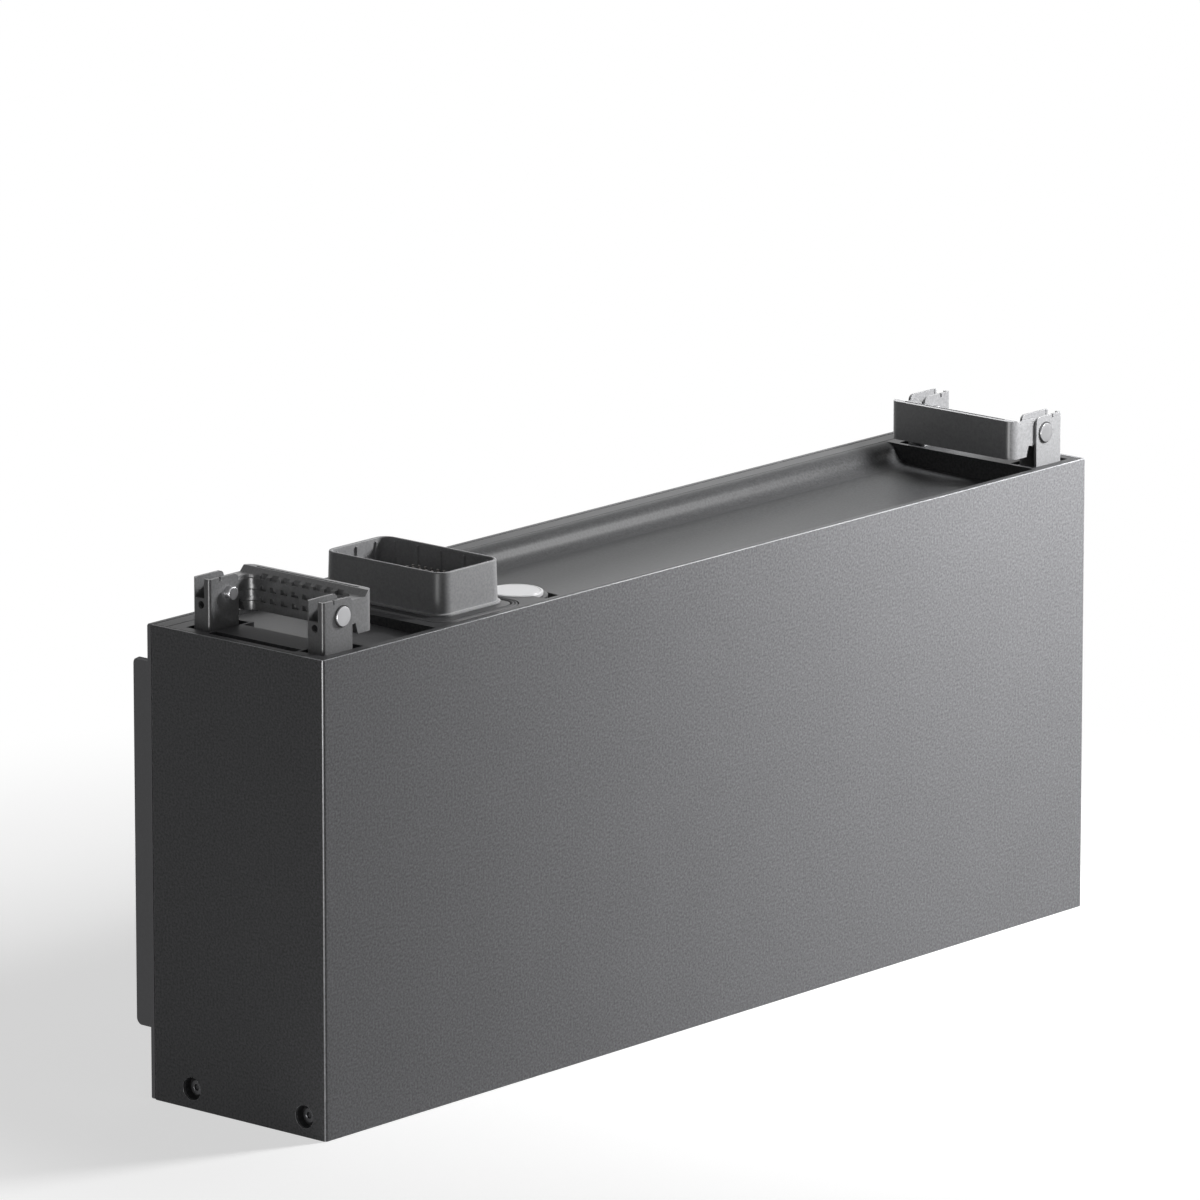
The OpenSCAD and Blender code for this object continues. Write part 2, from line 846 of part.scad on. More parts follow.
module handle_plan() {
  h = handle_y1 - handle_y0;
  x0 = pivot_x - arm_r - cut;
  difference() {
    union() {
      translate([x0, handle_y0]) square([grip_x1 - grip_r - x0, h]);
      translate([x0, handle_y0 + grip_r]) square([grip_x1 - x0, h - 2 * grip_r]);
      for (y = [handle_y0 + grip_r, handle_y1 - grip_r])
        translate([grip_x1 - grip_r, y]) circle(grip_r);
    }
    translate([x0 - cut, handle_y0 + arm_t]) square([grip_x0 - grip_in_r - x0 + cut, h - 2 * arm_t]);
    translate([x0 - cut, handle_y0 + arm_t + grip_in_r])
      square([grip_x0 - x0 + cut, h - 2 * arm_t - 2 * grip_in_r]);
    for (y = inner_corner_ys()) translate([grip_x0 - grip_in_r, y]) circle(grip_in_r);
  }
}

function inner_corner_ys() = [
  handle_y0 + arm_t + grip_in_r, handle_y1 - arm_t - grip_in_r
];

// Three rows of pockets, which run out into grooves round the inner corners
module grip_pockets() {
  mid = (handle_y0 + handle_y1) / 2;
  for (k = [-1, 0, 1]) {
    z = pivot_z + k * pocket_rise - pocket_h / 2;
    for (i = [0 : pocket_n - 1])
      translate([grip_x0 - cut, mid + (i - (pocket_n - 1) / 2) * pocket_pitch - pocket_w / 2, z])
        cube([pocket_deep + cut, pocket_w, pocket_h]);
    for (y = inner_corner_ys())
      translate([grip_x0 - grip_in_r, y, z]) cylinder(r = grip_in_r + corner_deep, h = pocket_h);
  }
}

module handle() {
  lip_x = grip_x0 + lip_back;
  difference() {
    union() {
      intersection() {
        along_y(handle_y0 - cut, handle_y1 + cut) handle_side();
        translate([0, 0, grip_bottom - cut]) linear_extrude(grip_h + 2 * cut) handle_plan();
      }
      for (y = [handle_y0, handle_y1 - arm_t]) rod_y([pivot_x, y, pivot_z], 2 * arm_r, arm_t);
    }
    rod_y([pivot_x, handle_y0 - cut, pivot_z], pin_d + pin_gap, handle_y1 - handle_y0 + 2 * cut);
    grip_pockets();
    block([lip_x, handle_y0 + arm_t, grip_top - lip_deep],
      [lip_x + lip_w, handle_y1 - arm_t, grip_top + cut]);
  }
}

module handle_near() {
  color("#a3a4a9") placed() handle();
}
module handle_far() {
  color("#a3a4a9") placed() far_end() handle();
}

// Pivot pins: flat head outside, plain shank, collar inside

module pivot(y, out) {
  far = out < 0 ? 0 : 1;
  y0 = y - ear_w / 2;
  head_y = far == 0 ? y0 - washer_t - head_t : y0 + ear_w + washer_t;
  collar_y = far == 0 ? y0 + ear_w : y0 - pin_collar_len;
  shank_y = far == 0 ? y0 - washer_t - cut / 2 : y0 - cut / 2;
  rod_y([pivot_x, head_y, pivot_z], pin_head_d, head_t);
  rod_y([pivot_x, collar_y, pivot_z], pin_collar_d, pin_collar_len);
  rod_y([pivot_x, shank_y, pivot_z], pin_d, ear_w + washer_t + cut);
}

module pivot_pair() {
  pivot(bracket_y1, -1);
  pivot(bracket_y2, 1);
}

module pivots_near() {
  color("#d6d7da") placed() pivot_pair();
}
module pivots_far() {
  color("#d6d7da") placed() far_end() pivot_pair();
}

module washer(y) {
  difference() {
    rod_y([pivot_x, y, pivot_z], washer_d, washer_t);
    rod_y([pivot_x, y - cut, pivot_z], pin_d, washer_t + 2 * cut);
  }
}

module washer_pair() {
  washer(bracket_y1 - ear_w / 2 - washer_t);
  washer(bracket_y2 + ear_w / 2);
}

module pivot_washers() {
  color("#202125") placed() {
    washer_pair();
    far_end() washer_pair();
  }
}

// Stack connector on top

module shroud_ribs() {
  top = body_h + shroud_h - rib_drop;
  n_long = 5;
  n_short = 3;
  for (i = [1 : n_long]) {
    y = shroud_y + shroud_r + i * (shroud_w - 2 * shroud_r) / (n_long + 1);
    for (x = [shroud_x + shroud_t - cut, shroud_x + shroud_l - shroud_t - rib_out])
      block([x, y - rib_w / 2, body_h + flange_t], [x + rib_out + cut, y + rib_w / 2, top]);
  }
  for (i = [1 : n_short]) {
    x = shroud_x + shroud_r + i * (shroud_l - 2 * shroud_r) / (n_short + 1);
    for (y = [shroud_y + shroud_t - cut, shroud_y + shroud_w - shroud_t - rib_out])
      block([x - rib_w / 2, y, body_h + flange_t], [x + rib_w / 2, y + rib_out + cut, top]);
  }
}

// A rounded block that leans in by the draft from foot to lip
module leaning(inset, r, z0, z1) {
  foot = inset;
  lip = inset + shroud_draft;
  hull() {
    translate([shroud_x + foot, shroud_y + foot, z0]) linear_extrude(0.01)
      round_rect(shroud_l - 2 * foot, shroud_w - 2 * foot, r, $fn = 32);
    translate([shroud_x + lip, shroud_y + lip, z1 - 0.01]) linear_extrude(0.01)
      round_rect(shroud_l - 2 * lip, shroud_w - 2 * lip, r - shroud_draft, $fn = 32);
  }
}

module shroud() {
  top = body_h + shroud_h;
  color("#808288") placed() {
    difference() {
      union() {
        translate([shroud_x - flange_out, shroud_y - flange_out, body_h])
          linear_extrude(flange_t)
          round_rect(shroud_l + 2 * flange_out, shroud_w + 2 * flange_out, shroud_r + flange_out);
        leaning(0, shroud_r, body_h, top);
      }
      leaning(shroud_t, shroud_r - shroud_t, body_h - cut, top + cut);
    }
    intersection() {
      shroud_ribs();
      leaning(shroud_t / 2, shroud_r, body_h, top);
    }
  }
}

module shroud_gasket() {
  side = (groove_w - gasket_w) / 2;
  color("#2b2c30") placed()
    gasket_ring(side, gasket_w, body_h - groove_deep, body_h - groove_deep + gasket_t);
}

function power_spots() = [for (k = power_ys) [power_x, block_y0 + block_w * k]];
function signal_spots() = [
  for (i = [0 : signal_n - 1], j = [0 : 1])
    [signal_x + j * signal_pitch,
      block_y0 + block_w / 2 + (i - (signal_n - 1) / 2) * signal_pitch]
];

module contact_block() {
  z0 = body_h - block_drop;
  z1 = body_h + block_up;
  color("#2e2f33") placed() difference() {
    union() {
      block([block_x0, block_y0, z0], [block_x0 + block_l, block_y0 + block_w, z1]);
      block([block_x0 - block_lip, block_y0 - block_lip, body_h],
        [block_x0 + block_l + block_lip, block_y0 + block_w + block_lip, body_h + cover_t]);
    }
    for (p = power_spots()) translate([p[0], p[1], z0 - cut])
      cylinder(d = power_base_d, h = z1 - z0 + 2 * cut);
    for (p = signal_spots()) translate([p[0], p[1], z0 - cut])
      cylinder(d = signal_d, h = z1 - z0 + 2 * cut);
  }
}

// A contact has a thick foot in the block, a short neck and a free end with a chamfered tip
module power_pins() {
  base_h = block_drop + power_drop + block_up;
  tip = 1;
  color("#c9a45a") placed() for (p = power_spots()) translate([p[0], p[1], power_z0]) {
    cylinder(d = power_base_d, h = base_h);
    translate([0, 0, base_h - cut]) cylinder(d = power_d - 1, h = power_neck + 2 * cut);
    translate([0, 0, base_h + power_neck]) cylinder(d = power_d, h = power_len - power_neck - tip);
    translate([0, 0, base_h + power_len - tip]) cylinder(d1 = power_d, d2 = power_d - 2 * tip, h = tip);
  }
}

module signal_pins() {
  color("#c9a45a") placed() for (p = signal_spots())
    translate([p[0], p[1], signal_z0]) cylinder(d = signal_d, h = signal_len);
}

// White vent cap over the breather bore
module vent_cap() {
  r = cap_d / 2;
  color("#e9e8ee") placed() translate([vent_x, vent_y, vent_z]) rotate_extrude()
    polygon([
      [0, 0], [r - 0.4, 0], [r, 0.4], [r, cap_h - 1], [r - 0.3, cap_h - 0.3],
      [r - 1, cap_h], [r - 1.8, cap_h], [r - 2, cap_h - 0.3], [0, cap_h - 0.3]
    ]);
}

module vent_membrane() {
  color("#f2f2f2") placed() translate([vent_x, vent_y, vent_z - membrane_t])
    cylinder(d = vent_bore_d, h = membrane_t);
}

// Captive screws that lock this module to the brackets of the one below
module stacking_screw(y) {
  head_x = seat_deep - stack_head_h;
  thread_x = recess_x0 - 1;
  difference() {
    union() {
      rod_x([head_x, y, seat_z], stack_head_d, stack_head_h);
      rod_x([seat_deep - cut, y, seat_z], waist_d, thread_x - seat_deep + 2 * cut);
      rod_x([thread_x, y, seat_z], bolt_d, seat_deep + stack_len - thread_x);
    }
    translate([head_x - cut, y, seat_z]) rotate([0, 90, 0])
      cylinder(d = stack_socket_d, h = stack_socket_deep + cut, $fn = 6);
  }
}

module stacking_screws() {
  color("#9a9b9f") placed() for (y = bracket_ys) {
    stacking_screw(y);
    far_end() stacking_screw(y);
  }
}

// Base

module recess_cut(z0, z1) {
  block([recess_x0, recess_y0, z0], [recess_x0 + recess_near_l, recess_y1, z1]);
  block([recess_far_x0, recess_y0, z0], [recess_far_x0 + recess_far_l, recess_y1, z1]);
}

module base_plate() {
  color("#6d6e72") placed() difference() {
    block([inner_x0, wall, 0], [inner_x1, inner_y1, base_t]);
    recess_cut(-cut, base_t + cut);
  }
}

module seat_cut(y) {
  rod_x([0, y, seat_z], seat_d, seat_deep);
  rod_x([0, y, seat_z], bolt_hole_d, recess_x0);
}

module base_frame() {
  ribs_x0 = recess_x0 + recess_near_l + liner_t;
  ribs_x1 = recess_far_x0 - liner_t - rib_t;
  rail_y1 = recess_y0 - liner_t;
  rail_y2 = recess_y1 + liner_t;
  color("#8f9094") placed() difference() {
    union() {
      block([inner_x0, wall, base_t], [inner_x1, rail_y1, frame_z]);
      block([inner_x0, rail_y2, base_t], [inner_x1, inner_y1, frame_z]);
      block([inner_x0, wall, base_t], [recess_x0 - liner_t, inner_y1, frame_z]);
      block([body_w - recess_x0 + liner_t, wall, base_t], [inner_x1, inner_y1, frame_z]);
      for (i = [0 : rib_n - 1]) {
        x = ribs_x0 + i * (ribs_x1 - ribs_x0) / (rib_n - 1);
        block([x, wall, base_t], [x + rib_t, inner_y1, frame_z]);
      }
    }
    for (y = bracket_ys) {
      seat_cut(y);
      far_end() seat_cut(y);
    }
  }
}

module recess_liner(x0, l) {
  difference() {
    block([x0 - liner_t, recess_y0 - liner_t, base_t],
      [x0 + l + liner_t, recess_y1 + liner_t, roof_z]);
    block([x0, recess_y0, -cut], [x0 + l, recess_y1, recess_h]);
    for (y = bracket_ys) {
      rod_x([0, y, seat_z], bolt_hole_d, recess_x0 + cut);
      far_end() rod_x([0, y, seat_z], bolt_hole_d, recess_x0 + cut);
    }
  }
}

module recess_near() {
  color("#5f6065") placed() difference() {
    recess_liner(recess_x0, recess_near_l);
    block([block_x0 + roof_edge, block_y0 + roof_edge, recess_h - cut],
      [block_x0 + block_l - roof_edge, block_y0 + block_w - roof_edge, roof_z + cut]);
  }
}

module recess_far() {
  color("#5f6065") placed() recess_liner(recess_far_x0, recess_far_l);
}

// Plug that enters the shroud of the module below
module lower_connector() {
  sleeve_z1 = recess_h - plug_roof;
  signal_l = signal_pitch + signal_d + 2 * signal_margin;
  signal_w = (signal_n - 1) * signal_pitch + signal_d + 2 * signal_margin;
  color("#2e2f33") placed() difference() {
    union() {
      translate([shroud_x + plug_in, shroud_y + plug_in, plug_z0])
        linear_extrude(recess_h - plug_z0)
        round_rect(shroud_l - 2 * plug_in, shroud_w - 2 * plug_in, shroud_r - plug_in);
      block([shroud_x, shroud_y, recess_h - plug_flange],
        [shroud_x + shroud_l, shroud_y + shroud_w, recess_h]);
    }
    for (p = power_spots()) translate([p[0], p[1], plug_z0 - cut]) {
      cylinder(d = socket_d, h = sleeve_z1 - plug_z0 + cut);
      cylinder(d = stud_d, h = recess_h - plug_z0 + 2 * cut);
    }
    translate([signal_x - signal_d / 2 - signal_margin, block_y0 + (block_w - signal_w) / 2,
      plug_z0 - cut]) cube([signal_l, signal_w, sleeve_z1 - plug_z0 + cut]);
  }
}

// Socket sleeves whose studs reach up to the copper bars on the recess roof
module lower_contacts() {
  sleeve_z1 = recess_h - plug_roof;
  color("#c9a45a") placed() for (p = power_spots()) difference() {
    translate([p[0], p[1], 0]) {
      translate([0, 0, plug_z0 + 1]) cylinder(d = socket_d, h = sleeve_z1 - plug_z0 - 1);
      translate([0, 0, sleeve_z1 - cut]) cylinder(d = stud_d, h = roof_z - sleeve_z1 + cut);
    }
    translate([p[0], p[1], plug_z0]) cylinder(d = socket_in_d, h = socket_len + 1);
  }
}

// Cells and their frame

module cell_floor() {
  color("#a9abb0") placed() difference() {
    block([inner_x0, wall, frame_z], [inner_x1, inner_y1, floor_z]);
    end_passages(frame_z, floor_z);
  }
}

module thermal_pad() {
  color("#7fa2c4") placed()
    block([row_x0, row_y0, floor_z], [row_x0 + row_len, row_y0 + cell_w, cell_z]);
}

function cell_x(i) = row_x0 + i * (cell_t + spacer_t);

module cells() {
  color("#4d6f9f") placed() for (i = [0 : cell_n - 1]) translate([cell_x(i), row_y0, cell_z]) {
    cube([cell_t, cell_w, cell_h]);
    for (y = [terminal_in, cell_w - terminal_in])
      translate([cell_t / 2, y, cell_h - cut]) cylinder(d = terminal_d, h = terminal_h + cut);
  }
}

module cell_spacers() {
  color("#e3e0d4") placed() for (i = [0 : cell_n - 2])
    translate([cell_x(i) + cell_t, row_y0, cell_z]) cube([spacer_t, cell_w, cell_h - spacer_drop]);
}

module clamp() {
  x0 = row_x0 - clamp_t;
  difference() {
    union() {
      block([x0, row_y0, floor_z], [row_x0, row_y0 + cell_w, floor_z + clamp_h]);
      block([x0 - clamp_foot, row_y0, floor_z], [x0, row_y0 + cell_w, floor_z + clamp_foot_t]);
    }
    for (i = [0 : clamp_rib_n - 1]) {
      y = row_y0 + clamp_edge + i * (cell_w - 2 * clamp_edge) / (clamp_rib_n - 1);
      block([x0 - cut, y - clamp_hollow_w / 2, floor_z + clamp_hollow_z[0]],
        [row_x0 - clamp_web, y + clamp_hollow_w / 2, floor_z + clamp_h - clamp_hollow_z[1]]);
    }
  }
}

module clamp_near() {
  color("#b7b9bd") placed() clamp();
}
module clamp_far() {
  color("#b7b9bd") placed() far_end() clamp();
}

module clamp_bands() {
  x0 = row_x0 - clamp_t;
  x1 = row_x0 + row_len + clamp_t;
  color("#c4c6ca") placed() for (z = band_zs, y = [row_y0 - band_t, row_y0 + cell_w])
    block([x0, y, z], [x1, y + band_t, z + band_h]);
}

// Each busbar joins two neighbours, on alternate sides of the row
module busbars() {
  z = cell_top + terminal_h;
  color("#c98a5a") placed() for (i = [0 : cell_n - 2]) {
    y = row_y0 + (i % 2 == 0 ? terminal_in : cell_w - terminal_in);
    block([cell_x(i) + busbar_in, y - busbar_w / 2, z],
      [cell_x(i + 1) + cell_t - busbar_in, y + busbar_w / 2, z + busbar_t]);
  }
}

module sense_board() {
  z = cell_top + terminal_h + busbar_t;
  color("#2f6b3c") placed()
    block([row_x0 + sense_in, row_y0 + sense_side, z],
      [row_x0 + row_len - sense_in, row_y0 + cell_w - sense_side, z + sense_t]);
}

// Insulating lid over the busbars, resting on the cells' shoulders
module cell_lid() {
  color("#d8d9d2") placed() difference() {
    block([row_x0, row_y0, cell_top], [row_x0 + row_len, row_y0 + cell_w, lid_z + lid_t]);
    block([row_x0 + lid_t, row_y0 + lid_t, cell_top - cut],
      [row_x0 + row_len - lid_t, row_y0 + cell_w - lid_t, lid_z]);
    translate([tap_x, tap_y, lid_z - cut]) cylinder(d = tap_hole_d, h = lid_t + 2 * cut);
  }
}

// Electronics shelf and end frames

// Passages for the copper bars and the loom that rise through the near end
module end_passages(z0, z1) {
  for (y = bar_ys())
    block([riser_x - bar_slot, y - bar_w / 2 - bar_slot, z0 - cut],
      [riser_x + bar_t + bar_slot, y + bar_w / 2 + bar_slot, z1 + cut]);
  translate([loom_x, loom_y, z0 - cut]) cylinder(d = loom_hole_d, h = z1 - z0 + 2 * cut);
}

module shelf() {
  color("#a4a6aa") placed() difference() {
    union() {
      block([shelf_x0, wall, shelf_z], [shelf_x1, inner_y1, shelf_top]);
      for (x = [row_x0, row_x0 + row_len - shelf_pad])
        block([x, row_y0, lid_z + lid_t], [x + shelf_pad, row_y0 + cell_w, shelf_z + cut]);
    }
    end_passages(shelf_z, shelf_top);
    translate([tap_x, tap_y, shelf_z - cut]) cylinder(d = tap_hole_d, h = shelf_t + 2 * cut);
  }
}

module end_frame() {
  pad_x1 = window_x1 - seam;
  mid_x1 = deck_near - cover_t - seam;
  rib_x1 = inner_x0 + end_wall_t;
  inner_d = inner_y1 - wall;
  color("#97999e") difference() {
    union() {
      block([inner_x0, wall, floor_z], [rib_x1, inner_y1, foot_z]);
      block([inner_x0, wall, foot_z - end_top_t], [mid_x1, pan_wall_y, foot_z]);
      for (y = bracket_ys) {
        block([inner_x0, y - window_w / 2, foot_z - end_top_t], [pad_x1, y + window_w / 2, foot_z]);
        for (side = [-1, 1]) {
          y0 = y + side * brace_out - brace_t / 2;
          along_y(y0, y0 + brace_t) polygon([
            [rib_x1 - cut, foot_z - brace_h], [rib_x1, foot_z - brace_h],
            [pad_x1, foot_z - end_top_t], [pad_x1, foot_z - end_top_t + cut],
            [rib_x1 - cut, foot_z - end_top_t + cut]
          ]);
        }
      }
    }
    for (i = [0 : end_window_n - 1]) {
      y = wall + (i + 0.5) * inner_d / end_window_n;
      block([0, y - end_window_w / 2, end_window_z0], [rib_x1 + cut, y + end_window_w / 2, end_window_z1]);
    }
    block([0, rail_y0 - seam, body_h - rail_h], [pad_x1, inner_y1 + cut, body_h]);
    for (y = bracket_ys) translate([foot_hole_x, y, foot_z - end_top_t - cut])
      cylinder(d = foot_screw_d, h = end_top_t + 2 * cut);
  }
}

module end_frame_near() {
  placed() end_frame();
}
module end_frame_far() {
  placed() far_end() end_frame();
}

// Power electronics

module standoffs() {
  color("#c8c9cc") placed()
    for (x = [board_x0 + standoff_in, board_x0 + board_l / 2, board_x0 + board_l - standoff_in],
         y = [board_y0 + standoff_in, board_y0 + board_w - standoff_in])
      translate([x, y, shelf_top]) cylinder(d = standoff_d, h = standoff_h);
}

module converter_board() {
  color("#1f5a33") placed()
    block([board_x0, board_y0, board_z], [board_x0 + board_l, board_y0 + board_w, part_z]);
}

module chokes() {
  color("#5a4636") placed() for (i = [0 : choke_n - 1])
    translate([board_x0 + board_l * (choke_first + i * choke_step), choke_y, part_z]) difference() {
      cylinder(d = choke_d, h = choke_h);
      translate([0, 0, -cut]) cylinder(d = choke_bore, h = choke_h + 2 * cut);
    }
}

module capacitors() {
  color("#33363d") placed() for (i = [0 : can_n - 1])
    translate([board_x0 + board_l - can_end - i * can_pitch, can_y, part_z])
      cylinder(d = can_d, h = can_h);
}

// Aluminium block that takes the heat of the power switches to the rear plate
module heat_spreader() {
  x1 = spreader_x0 + spreader_l;
  color("#aeb0b4") placed() {
    block([spreader_x0, rear_y - spreader_w, part_z], [x1, rear_y, part_z + spreader_h]);
    block([spreader_x0, board_y0 + board_w - spreader_w, part_z],
      [x1, rear_y - spreader_w + cut, part_z + spreader_t]);
  }
}

module contactors() {
  color("#3b3d42") placed() for (y = bar_ys())
    translate([contactor_x, y - contactor[1] / 2, shelf_top]) {
      cube(contactor);
      for (x = [terminal_post_in, contactor[0] - terminal_post_in])
        translate([x, contactor[1] / 2, contactor[2] - cut])
          cylinder(d = terminal_post_d, h = terminal_post_h + cut);
    }
}

module main_fuse() {
  lug = fuse_d / 2 - 3;
  color("#e4e2da") placed() translate([fuse_x, fuse_y, shelf_top]) {
    cube([fuse_w, fuse_l, fuse_foot]);
    translate([fuse_w / 2, lug, fuse_foot - 1 + fuse_d / 2]) rotate([-90, 0, 0])
      cylinder(d = fuse_d, h = fuse_l - 2 * lug);
  }
}

module management_board() {
  color("#1c4f7a") placed() {
    block([manage_x0, manage_y0, shelf_top], [manage_x1, manage_y1, shelf_top + manage_t]);
    translate([manage_x0 + manage_box_in, manage_y0 + manage_box_in / 2, shelf_top + manage_t - cut])
      cube(manage_box);
  }
}

// Flat copper bars from the lower contacts up the near end to the contactors,
// and from the contactors up to the power contacts on top
function bar_ys() = [
  for (k = [0, 2]) block_y0 + block_w * (power_ys[k] + power_ys[k + 1]) / 2
];

module riser_bars() {
  first_x = contactor_x + terminal_post_in + bar_past;
  last_x = contactor_x + contactor[0] - terminal_post_in;
  color("#c98a5a") placed() for (y = bar_ys()) {
    y0 = y - bar_w / 2;
    y1 = y + bar_w / 2;
    block([riser_x, y0, roof_z], [power_x + bar_past, y1, roof_z + bar_t]);
    block([riser_x, y0, roof_z], [riser_x + bar_t, y1, contact_z + bar_t]);
    block([riser_x, y0, contact_z], [first_x, y1, contact_z + bar_t]);
    block([last_x - bar_past, y0, contact_z], [last_x + bar_past, y1, contact_z + bar_t]);
    block([last_x + bar_past - bar_t, y0, contact_z], [last_x + bar_past, y1, power_z0]);
    block([last_x + bar_past - bar_t, y0, power_z0 - bar_t], [power_x + bar_past, y1, power_z0]);
  }
}

// A bundle of wires along straight runs, with a soft knot at each turn
module loom(points) {
  for (i = [0 : len(points) - 2]) {
    a = points[i];
    b = points[i + 1];
    d = b - a;
    translate(a) rotate([0, acos(d[2] / norm(d)), atan2(d[1], d[0])])
      cylinder(d = loom_d, h = norm(d));
  }
  for (i = [1 : len(points) - 2]) translate(points[i]) sphere(d = loom_knot_d);
}

module wiring_looms() {
  mid_y = block_y0 + block_w / 2;
  mid_x = signal_x + signal_pitch / 2;
  header_l = signal_pitch + 2 * header_margin;
  header_w = (signal_n - 1) * signal_pitch + 2 * header_margin;
  board_top = shelf_top + manage_t;
  run_z = roof_z + loom_knot_d / 2 + loom_gap;
  side_z = board_top + 12;
  color("#2c2d31") placed() {
    block([mid_x - header_l / 2, mid_y - header_w / 2, signal_z0 - header_h],
      [mid_x + header_l / 2, mid_y + header_w / 2, signal_z0]);
    loom([[mid_x, mid_y, signal_z0 - cut], [mid_x, mid_y, signal_z0 - 40],
      [mid_x, manage_y0 + 20, signal_z0 - 60], [mid_x, manage_y0 + 20, board_top]]);
    loom([[manage_x0 + manage_box_in, loom_y, board_top], [manage_x0 + manage_box_in, loom_y, side_z],
      [loom_x, loom_y, side_z], [loom_x, loom_y, run_z], [mid_x, loom_y, run_z],
      [mid_x, mid_y, run_z], [mid_x, mid_y, recess_h]]);
    translate([tap_x, tap_y, cell_top + terminal_h + busbar_t + sense_t])
      cylinder(d = tap_d, h = shelf_top - cell_top - terminal_h - busbar_t - sense_t);
  }
}

shell();
rear_plate();
rear_seal();
rear_screws();
rear_rail();
top_cover();
bracket_near_front();
bracket_near_rear();
bracket_far_front();
bracket_far_rear();
bracket_screws();
handle_near();
handle_far();
pivots_near();
pivots_far();
pivot_washers();
shroud();
shroud_gasket();
contact_block();
power_pins();
signal_pins();
vent_cap();
vent_membrane();
stacking_screws();
base_plate();
base_frame();
recess_near();
recess_far();
lower_connector();
lower_contacts();
cell_floor();
thermal_pad();
cells();
cell_spacers();
clamp_near();
clamp_far();
clamp_bands();
busbars();
sense_board();
cell_lid();
shelf();
end_frame_near();
end_frame_far();
standoffs();
converter_board();
chokes();
capacitors();
heat_spreader();
contactors();
main_fuse();
management_board();
riser_bars();
wiring_looms();
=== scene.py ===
"""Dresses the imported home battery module: edges, seals, screws, finishes, lamps, floor and camera."""

import json
import math

import bmesh
import bpy
import numpy as np
from mathutils import Matrix, Vector

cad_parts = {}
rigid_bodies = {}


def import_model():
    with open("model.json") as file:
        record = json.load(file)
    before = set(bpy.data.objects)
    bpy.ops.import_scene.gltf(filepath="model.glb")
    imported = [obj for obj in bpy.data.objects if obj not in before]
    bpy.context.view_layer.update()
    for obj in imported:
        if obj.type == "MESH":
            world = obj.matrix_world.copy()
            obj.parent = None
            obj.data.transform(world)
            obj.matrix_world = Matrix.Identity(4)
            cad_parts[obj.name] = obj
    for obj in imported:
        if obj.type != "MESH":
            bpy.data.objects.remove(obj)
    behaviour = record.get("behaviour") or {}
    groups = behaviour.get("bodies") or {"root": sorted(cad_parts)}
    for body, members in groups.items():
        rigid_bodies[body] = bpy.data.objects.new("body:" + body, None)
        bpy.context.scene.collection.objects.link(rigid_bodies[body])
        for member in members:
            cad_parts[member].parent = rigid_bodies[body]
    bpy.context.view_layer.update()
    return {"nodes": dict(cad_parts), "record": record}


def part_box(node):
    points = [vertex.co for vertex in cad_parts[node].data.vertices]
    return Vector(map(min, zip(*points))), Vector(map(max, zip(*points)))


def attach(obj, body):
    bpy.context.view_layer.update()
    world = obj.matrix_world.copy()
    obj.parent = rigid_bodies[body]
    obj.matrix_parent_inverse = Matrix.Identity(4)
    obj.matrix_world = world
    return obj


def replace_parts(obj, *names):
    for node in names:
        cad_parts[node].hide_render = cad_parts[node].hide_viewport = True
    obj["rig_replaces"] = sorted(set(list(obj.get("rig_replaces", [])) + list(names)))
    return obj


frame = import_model()

bl_info = {
    "name": "Home battery module",
    "version": (1, 0, 0),
    "blender": (4, 5, 0),
    "location": "3D View > Sidebar > Battery",
    "description": "Builds the visible surfaces, finishes and studio of a stackable home battery module",
    "category": "Object",
}

MM = 0.001
WHITE = (1.0, 1.0, 1.0, 1.0)
HOUSING = "housing"
NEAR = "near_handle"
FAR = "far_handle"

# Steepest bend that is shaded smooth and least bend whose edge is rounded, in degrees
SMOOTH_ANGLE = 35.0
BEVEL_ANGLE = 30.0

# Points of a CAD mesh closer than this many metres become one, and so do faces that bend by less than
# this many degrees
SAME_POINT = 2e-6
SAME_FACE = 0.5

# Specular level of the lighter coat on rounded edges, whose lighter tone paints a highlight along them
EDGE_SHINE = 0.4

# Colour of the contact pins, darkened so that they sink into the shade inside the shroud: painted shade
SHADED_CONTACT_TONE = (0.22, 0.21, 0.2)

# The floor's own tone, its glow to the camera, where its shadow fades into plain white, its half width
# and how far it lies below the module
FLOOR_TONE = 0.5
FLOOR_GLOW = 0.6
SHADOW_REACH = (0.6, 1.1)
FLOOR_REACH = 12.0
FLOOR_DROP = 0.2 * MM

# The sky's level on the module
WORLD_LEVEL = 0.09

# Each lamp's name, place, aim, width and height
LAMPS = (
    ("key", (0.72, -0.62, 1.02), (0.3, -0.1, 0.3), 0.3, 0.3),
    ("edge", (1.08, -0.82, 0.84), (0.05, 0.05, 0.44), 0.45, 0.32),
    ("top", (0.2, 0.3, 2.4), (0.0, 0.0, 0.4), 1.0, 0.8),
    ("rim", (1.27, 0.99, 0.8), (0.1, 0.0, 0.4), 0.5, 0.35),
    ("corner", (-2.25, -0.86, 0.14), (-0.28, -0.05, 0.4), 0.45, 0.24),
)
# Lamps that are seen only in reflections, as the strips of a studio are
STRIPS = ("edge", "corner")

# The camera's turning point, by its depth behind the front face and its height, and how far the camera
# is set off to the left and up
VIEW_DEPTH = 99.1 * MM
VIEW_HEIGHT = 204.65 * MM
VIEW_LEFT = 27.1 * MM
VIEW_UP = 146.8 * MM


# Places read from the frame


def corners(node):
    """Lowest and highest corner of a CAD node as arrays, in metres."""
    low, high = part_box(node)
    return np.array(low), np.array(high)


